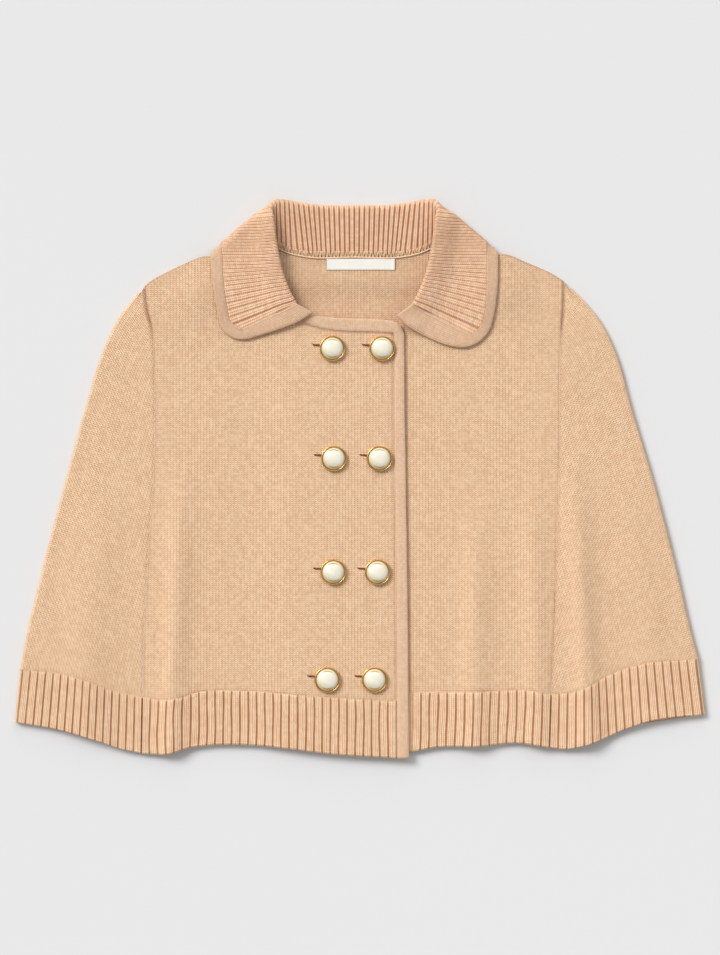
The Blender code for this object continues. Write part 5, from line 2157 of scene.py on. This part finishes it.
@dataclass
class Button:
    """A pearl dome in a metal cup, whose shank stands on the underlap."""

    word: str
    row: int
    x: float
    y: float
    sides: int = 64

    def build(self, loom: Loom) -> None:
        """Make the cup and the pearl.

        Args:
            loom: The loom.
        """
        place_x = (self.x + loom.shift[0]) * MM
        place_y = (self.y + loom.shift[1]) * MM
        foot = (under_top(self.x, self.y) + LAYER_GAP) * MM
        seat = (over_top(self.x, self.y) + BUTTON_LIFT) * MM
        self.cup(loom, place_x, place_y, foot, seat)
        self.pearl(loom, place_x, place_y, seat + (CUP_FLOOR + LAYER_GAP) * MM)

    def pick(self, shape: bmesh.types.BMesh, test: Callable) -> None:
        """Select the faces that pass a test, and nothing else.

        Args:
            shape: The mesh in edit mode.
            test: The test for a face.
        """
        for part in (shape.verts, shape.edges, shape.faces):
            for item in part:
                item.select_set(False)
        for face in shape.faces:
            if test(face):
                face.select_set(True)
        shape.select_flush_mode()

    def cup(self, loom: Loom, x: float, y: float, foot: float, seat: float) -> None:
        """Make the metal cup with its rim, foot and shank.

        Args:
            loom: The loom.
            x: Its place across, in metres.
            y: Its place up, in metres.
            foot: Height of the shank's end.
            seat: Height of the cup's underside.
        """
        deep = CUP_DEPTH * MM
        bpy.ops.object.select_all(action="DESELECT")
        bpy.ops.mesh.primitive_cylinder_add(vertices=self.sides, radius=BUTTON_RADIUS * MM,
                                            depth=deep, location=(x, y, seat + deep / 2))
        cup = bpy.context.object
        cup.name = cup.data.name = f"button_cup_{self.word}_{self.row}"
        bpy.ops.object.mode_set(mode="EDIT")
        shape = bmesh.from_edit_mesh(cup.data)
        self.pick(shape, lambda face: face.normal.z > 0.9)
        for thickness, rise in CUP_STEPS:
            bpy.ops.mesh.inset(thickness=thickness * MM, depth=rise * MM)
        self.pick(shape, lambda face: face.normal.z < -0.9)
        for thickness in (FOOT_EDGE, BUTTON_RADIUS - FOOT_EDGE - SHANK_RADIUS):
            bpy.ops.mesh.inset(thickness=thickness * MM, depth=0.0)
        bpy.ops.mesh.extrude_region_move(TRANSFORM_OT_translate={"value": (0, 0, foot - seat)})
        bpy.ops.object.mode_set(mode="OBJECT")
        bevel = cup.modifiers.new("edges", "BEVEL")
        bevel.width = CUP_BEVEL * MM
        bevel.segments = 2
        bevel.limit_method = "ANGLE"
        bevel.angle_limit = math.radians(35)
        bpy.ops.object.modifier_apply(modifier=bevel.name)
        place(cup)
        bpy.ops.object.shade_smooth_by_angle(angle=math.radians(40))
        loom.dress(cup, Finish.GOLD, f"button_{self.word}_{self.row}_rim")

    def pearl(self, loom: Loom, x: float, y: float, low: float) -> None:
        """Make the dome.

        Args:
            loom: The loom.
            x: Its place across, in metres.
            y: Its place up, in metres.
            low: Height of the dome's base.
        """
        bpy.ops.object.select_all(action="DESELECT")
        bpy.ops.mesh.primitive_uv_sphere_add(segments=self.sides, ring_count=32,
                                             radius=PEARL_RADIUS * MM, location=(x, y, low))
        dome = bpy.context.object
        dome.name = dome.data.name = f"button_dome_{self.word}_{self.row}"
        dome.scale = (1.0, 1.0, PEARL_HEIGHT / PEARL_RADIUS)
        place(dome)
        bpy.ops.object.mode_set(mode="EDIT")
        bpy.ops.mesh.select_all(action="SELECT")
        bpy.ops.mesh.bisect(plane_co=(x, y, low), plane_no=(0, 0, 1), clear_inner=True,
                            use_fill=True)
        bpy.ops.object.mode_set(mode="OBJECT")
        bpy.ops.object.shade_smooth_by_angle(angle=math.radians(50))
        spots = np.array([vertex.co for vertex in dome.data.vertices])
        out = np.linalg.norm(spots[:, :2] - (x, y), axis=1) / (PEARL_RADIUS * MM)
        # Painted shade towards the dome's rim, strongest at its edge
        mark = dome.data.attributes.new("painted_shade", "FLOAT", "POINT")
        mark.data.foreach_set("value", (out ** 8).astype(np.float32))
        corners = [loop.vertex_index for loop in dome.data.loops]
        face_on = (spots[corners, :2] - (x, y)) / (PEARL_RADIUS * MM)
        for old in list(dome.data.uv_layers):
            dome.data.uv_layers.remove(old)
        across = dome.data.uv_layers.new(name="stitches")
        across.data.foreach_set("uv", face_on.astype(np.float32).ravel())
        loom.dress(dome, Finish.PEARL, f"button_{self.word}_{self.row}_pearl")


# Seams


@dataclass
class Linking:
    """Threads that join the panels, sunk between them."""

    radius: float = 0.55
    pitch: float = 0.6
    side_sink: float = 0.75
    shoulder_sink: float = 0.9
    even_sink: float = 0.7
    neck_rise: float = 0.35
    neck_radius: float = 1.05
    neck_in: float = 0.6
    bend_points: int = 12
    edge_points: int = 80
    edge_top: float = 117.0

    def run(self, loom: Loom, name: str, plan: Array, top_of: Height, sink: float,
            deeper: float = 0.0, radius: float = 0.0) -> None:
        """Lay one thread along a seam.

        Args:
            loom: The loom.
            name: The thread's name.
            plan: Points of the seam.
            top_of: Height of the cloth beside it.
            sink: How far the thread's middle lies below that.
            deeper: How much deeper it lies near the shoulder.
            radius: Its radius, if not the usual one.
        """
        read = line(plan)
        length = run_of(np.asarray(plan))[-1]
        spots = read(np.linspace(0.0, 1.0, int(length / self.pitch)))
        height = height_at(top_of, spots) - (sink + deeper * near_shoulder(spots[:, 1]))
        thread = loom.cord(name, np.column_stack([spots, height]), radius or self.radius)
        loom.dress(thread, Finish.BAND)

    def build(self, loom: Loom) -> None:
        """Lay the threads of the side seams, hem borders and the band's seam.

        Args:
            loom: The loom.
        """
        lowered = [(x, y + self.neck_in) for x, y in BACK_NECK[1:-1]]
        self.run(loom, "neck_seam_thread", lowered, back_top, -self.neck_rise,
                 radius=self.neck_radius)
        for word, seam in (("right", RIGHT_SEAM), ("left", LEFT_SEAM)):
            self.run(loom, f"{word}_seam_thread", seam, under_top, self.side_sink,
                     self.shoulder_sink)
        for name, border, top_of in (("right_side", RIGHT_SIDE_RIB, under_top),
                                     ("left_side", LEFT_SIDE_RIB, under_top),
                                     ("right_front", RIGHT_FRONT_RIB, over_top),
                                     ("left_front", [UNDERLAP_RIB] + LEFT_FRONT_RIB,
                                      under_top)):
            self.run(loom, f"{name}_border_thread", border, top_of, self.even_sink)
        bend = line(BAND_CORNER)(np.linspace(0.0, 1.0, self.bend_points))[:, 2:]
        ys = np.linspace(self.edge_top, BAND_SEAM_X[-1][0] + 1.0, self.edge_points)
        edge = np.column_stack([smooth(BAND_SEAM_X[::-1], ys)[:, 0], ys])
        route = np.concatenate([np.array(NECKBAND_SEAM[:-1]), bend, edge])
        self.run(loom, "band_seam_thread", route, over_top, self.even_sink)


# Studio


# Where the picture's middle lies on the plan
PICTURE_MIDDLE = (4.75, 0.44)


@dataclass
class Studio:
    """The pale floor, the soft lights and the camera straight above."""

    shift: Pair
    pixels: tuple[int, int] = (720, 955)
    pixel: float = 0.00088
    height: float = 2.4
    sensor: float = 36.0
    floor: Colour = (0.68, 0.68, 0.68, 1.0)
    sky: float = 0.51
    key: float = 2.75
    key_from: tuple[float, float, float] = (-1.0, 0.85, 1.1)
    key_angle: float = 26.0
    fill: float = 0.8
    fill_from: tuple[float, float, float] = (0.15, 1.5, 0.95)
    fill_angle: float = 55.0
    floor_size: float = 60.0
    floor_z: float = -0.0002

    def build(self) -> None:
        """Make the floor, lights and camera."""
        bpy.ops.object.select_all(action="DESELECT")
        bpy.ops.mesh.primitive_plane_add(size=self.floor_size, location=(0.0, 0.0, self.floor_z))
        floor = bpy.context.object
        floor.name = "floor"
        place(floor)
        floor.data.materials.append(FloorFinish("floor", self.floor).build())

        world = bpy.context.scene.world or bpy.data.worlds.new("studio")
        bpy.context.scene.world = world
        world.use_nodes = True
        sky = world.node_tree.nodes["Background"]
        sky.inputs["Color"].default_value = (1.0, 1.0, 1.0, 1.0)
        sky.inputs["Strength"].default_value = self.sky

        self.lamp("key", self.key_from, self.key_angle, self.key)
        self.lamp("fill", self.fill_from, self.fill_angle, self.fill)

        middle = [(spot + moved) * MM for spot, moved in zip(PICTURE_MIDDLE, self.shift)]
        bpy.ops.object.camera_add(location=(*middle, self.height), rotation=(0, 0, 0))
        camera = bpy.context.object
        camera.name = "camera"
        camera.data.sensor_width = self.sensor
        camera.data.lens = self.sensor * self.height / (self.pixels[1] * self.pixel)
        camera.data.clip_end = 50.0
        bpy.context.scene.camera = camera
        bpy.context.scene.view_settings.view_transform = "Standard"

    def lamp(self, name: str, spot: tuple[float, float, float], spread_angle: float,
             power: float) -> None:
        """Add a broad distant light that shines evenly over the floor.

        Args:
            name: Its name.
            spot: Where it shines from.
            spread_angle: How wide it looks from the floor, in degrees.
            power: Its strength.
        """
        turn = (-Vector(spot)).to_track_quat("-Z", "Y").to_euler()
        bpy.ops.object.light_add(type="SUN", location=spot, rotation=turn)
        light = bpy.context.object
        light.name = name
        light.data.angle = math.radians(spread_angle)
        light.data.energy = power


def main() -> None:
    """Build the capelet on its frame, then the studio."""
    logging.basicConfig(level=logging.INFO, format="%(message)s")
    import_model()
    low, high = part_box("neck_label")
    shift = ((low.x + high.x) / 2 / MM - LABEL_CENTRE[0],
             (low.y + high.y) / 2 / MM - LABEL_CENTRE[1])
    Studio(shift).build()
    loom = Loom(shift)
    BackPanel().build(loom)
    FrontPanel(Side.LEFT).build(loom)
    FrontPanel(Side.RIGHT).build(loom)
    FrontBand().build(loom)
    SidePanel(Side.RIGHT, RIGHT_SEAM, RIGHT_EDGE, RIGHT_SIDE_RIB, RIGHT_SIDE_HEM, 16).build(loom)
    SidePanel(Side.LEFT, LEFT_SEAM, LEFT_EDGE, LEFT_SIDE_RIB, LEFT_SIDE_HEM, 18).build(loom)
    collar = Collar()
    collar.build(loom)
    CollarTrim(collar).build(loom)
    NeckLabel().build(loom)
    Linking().build(loom)
    for row, (y, right_x, left_x) in enumerate(BUTTON_ROWS, start=1):
        Button("right", row, right_x, y).build(loom)
        Button("left", row, left_x, y).build(loom)
    LOG.info("%d pieces, %d triangles", len(loom.pieces),
             sum(len(face.vertices) - 2 for piece in loom.pieces
                 for face in piece.data.polygons))


if __name__ == "__main__":
    main()
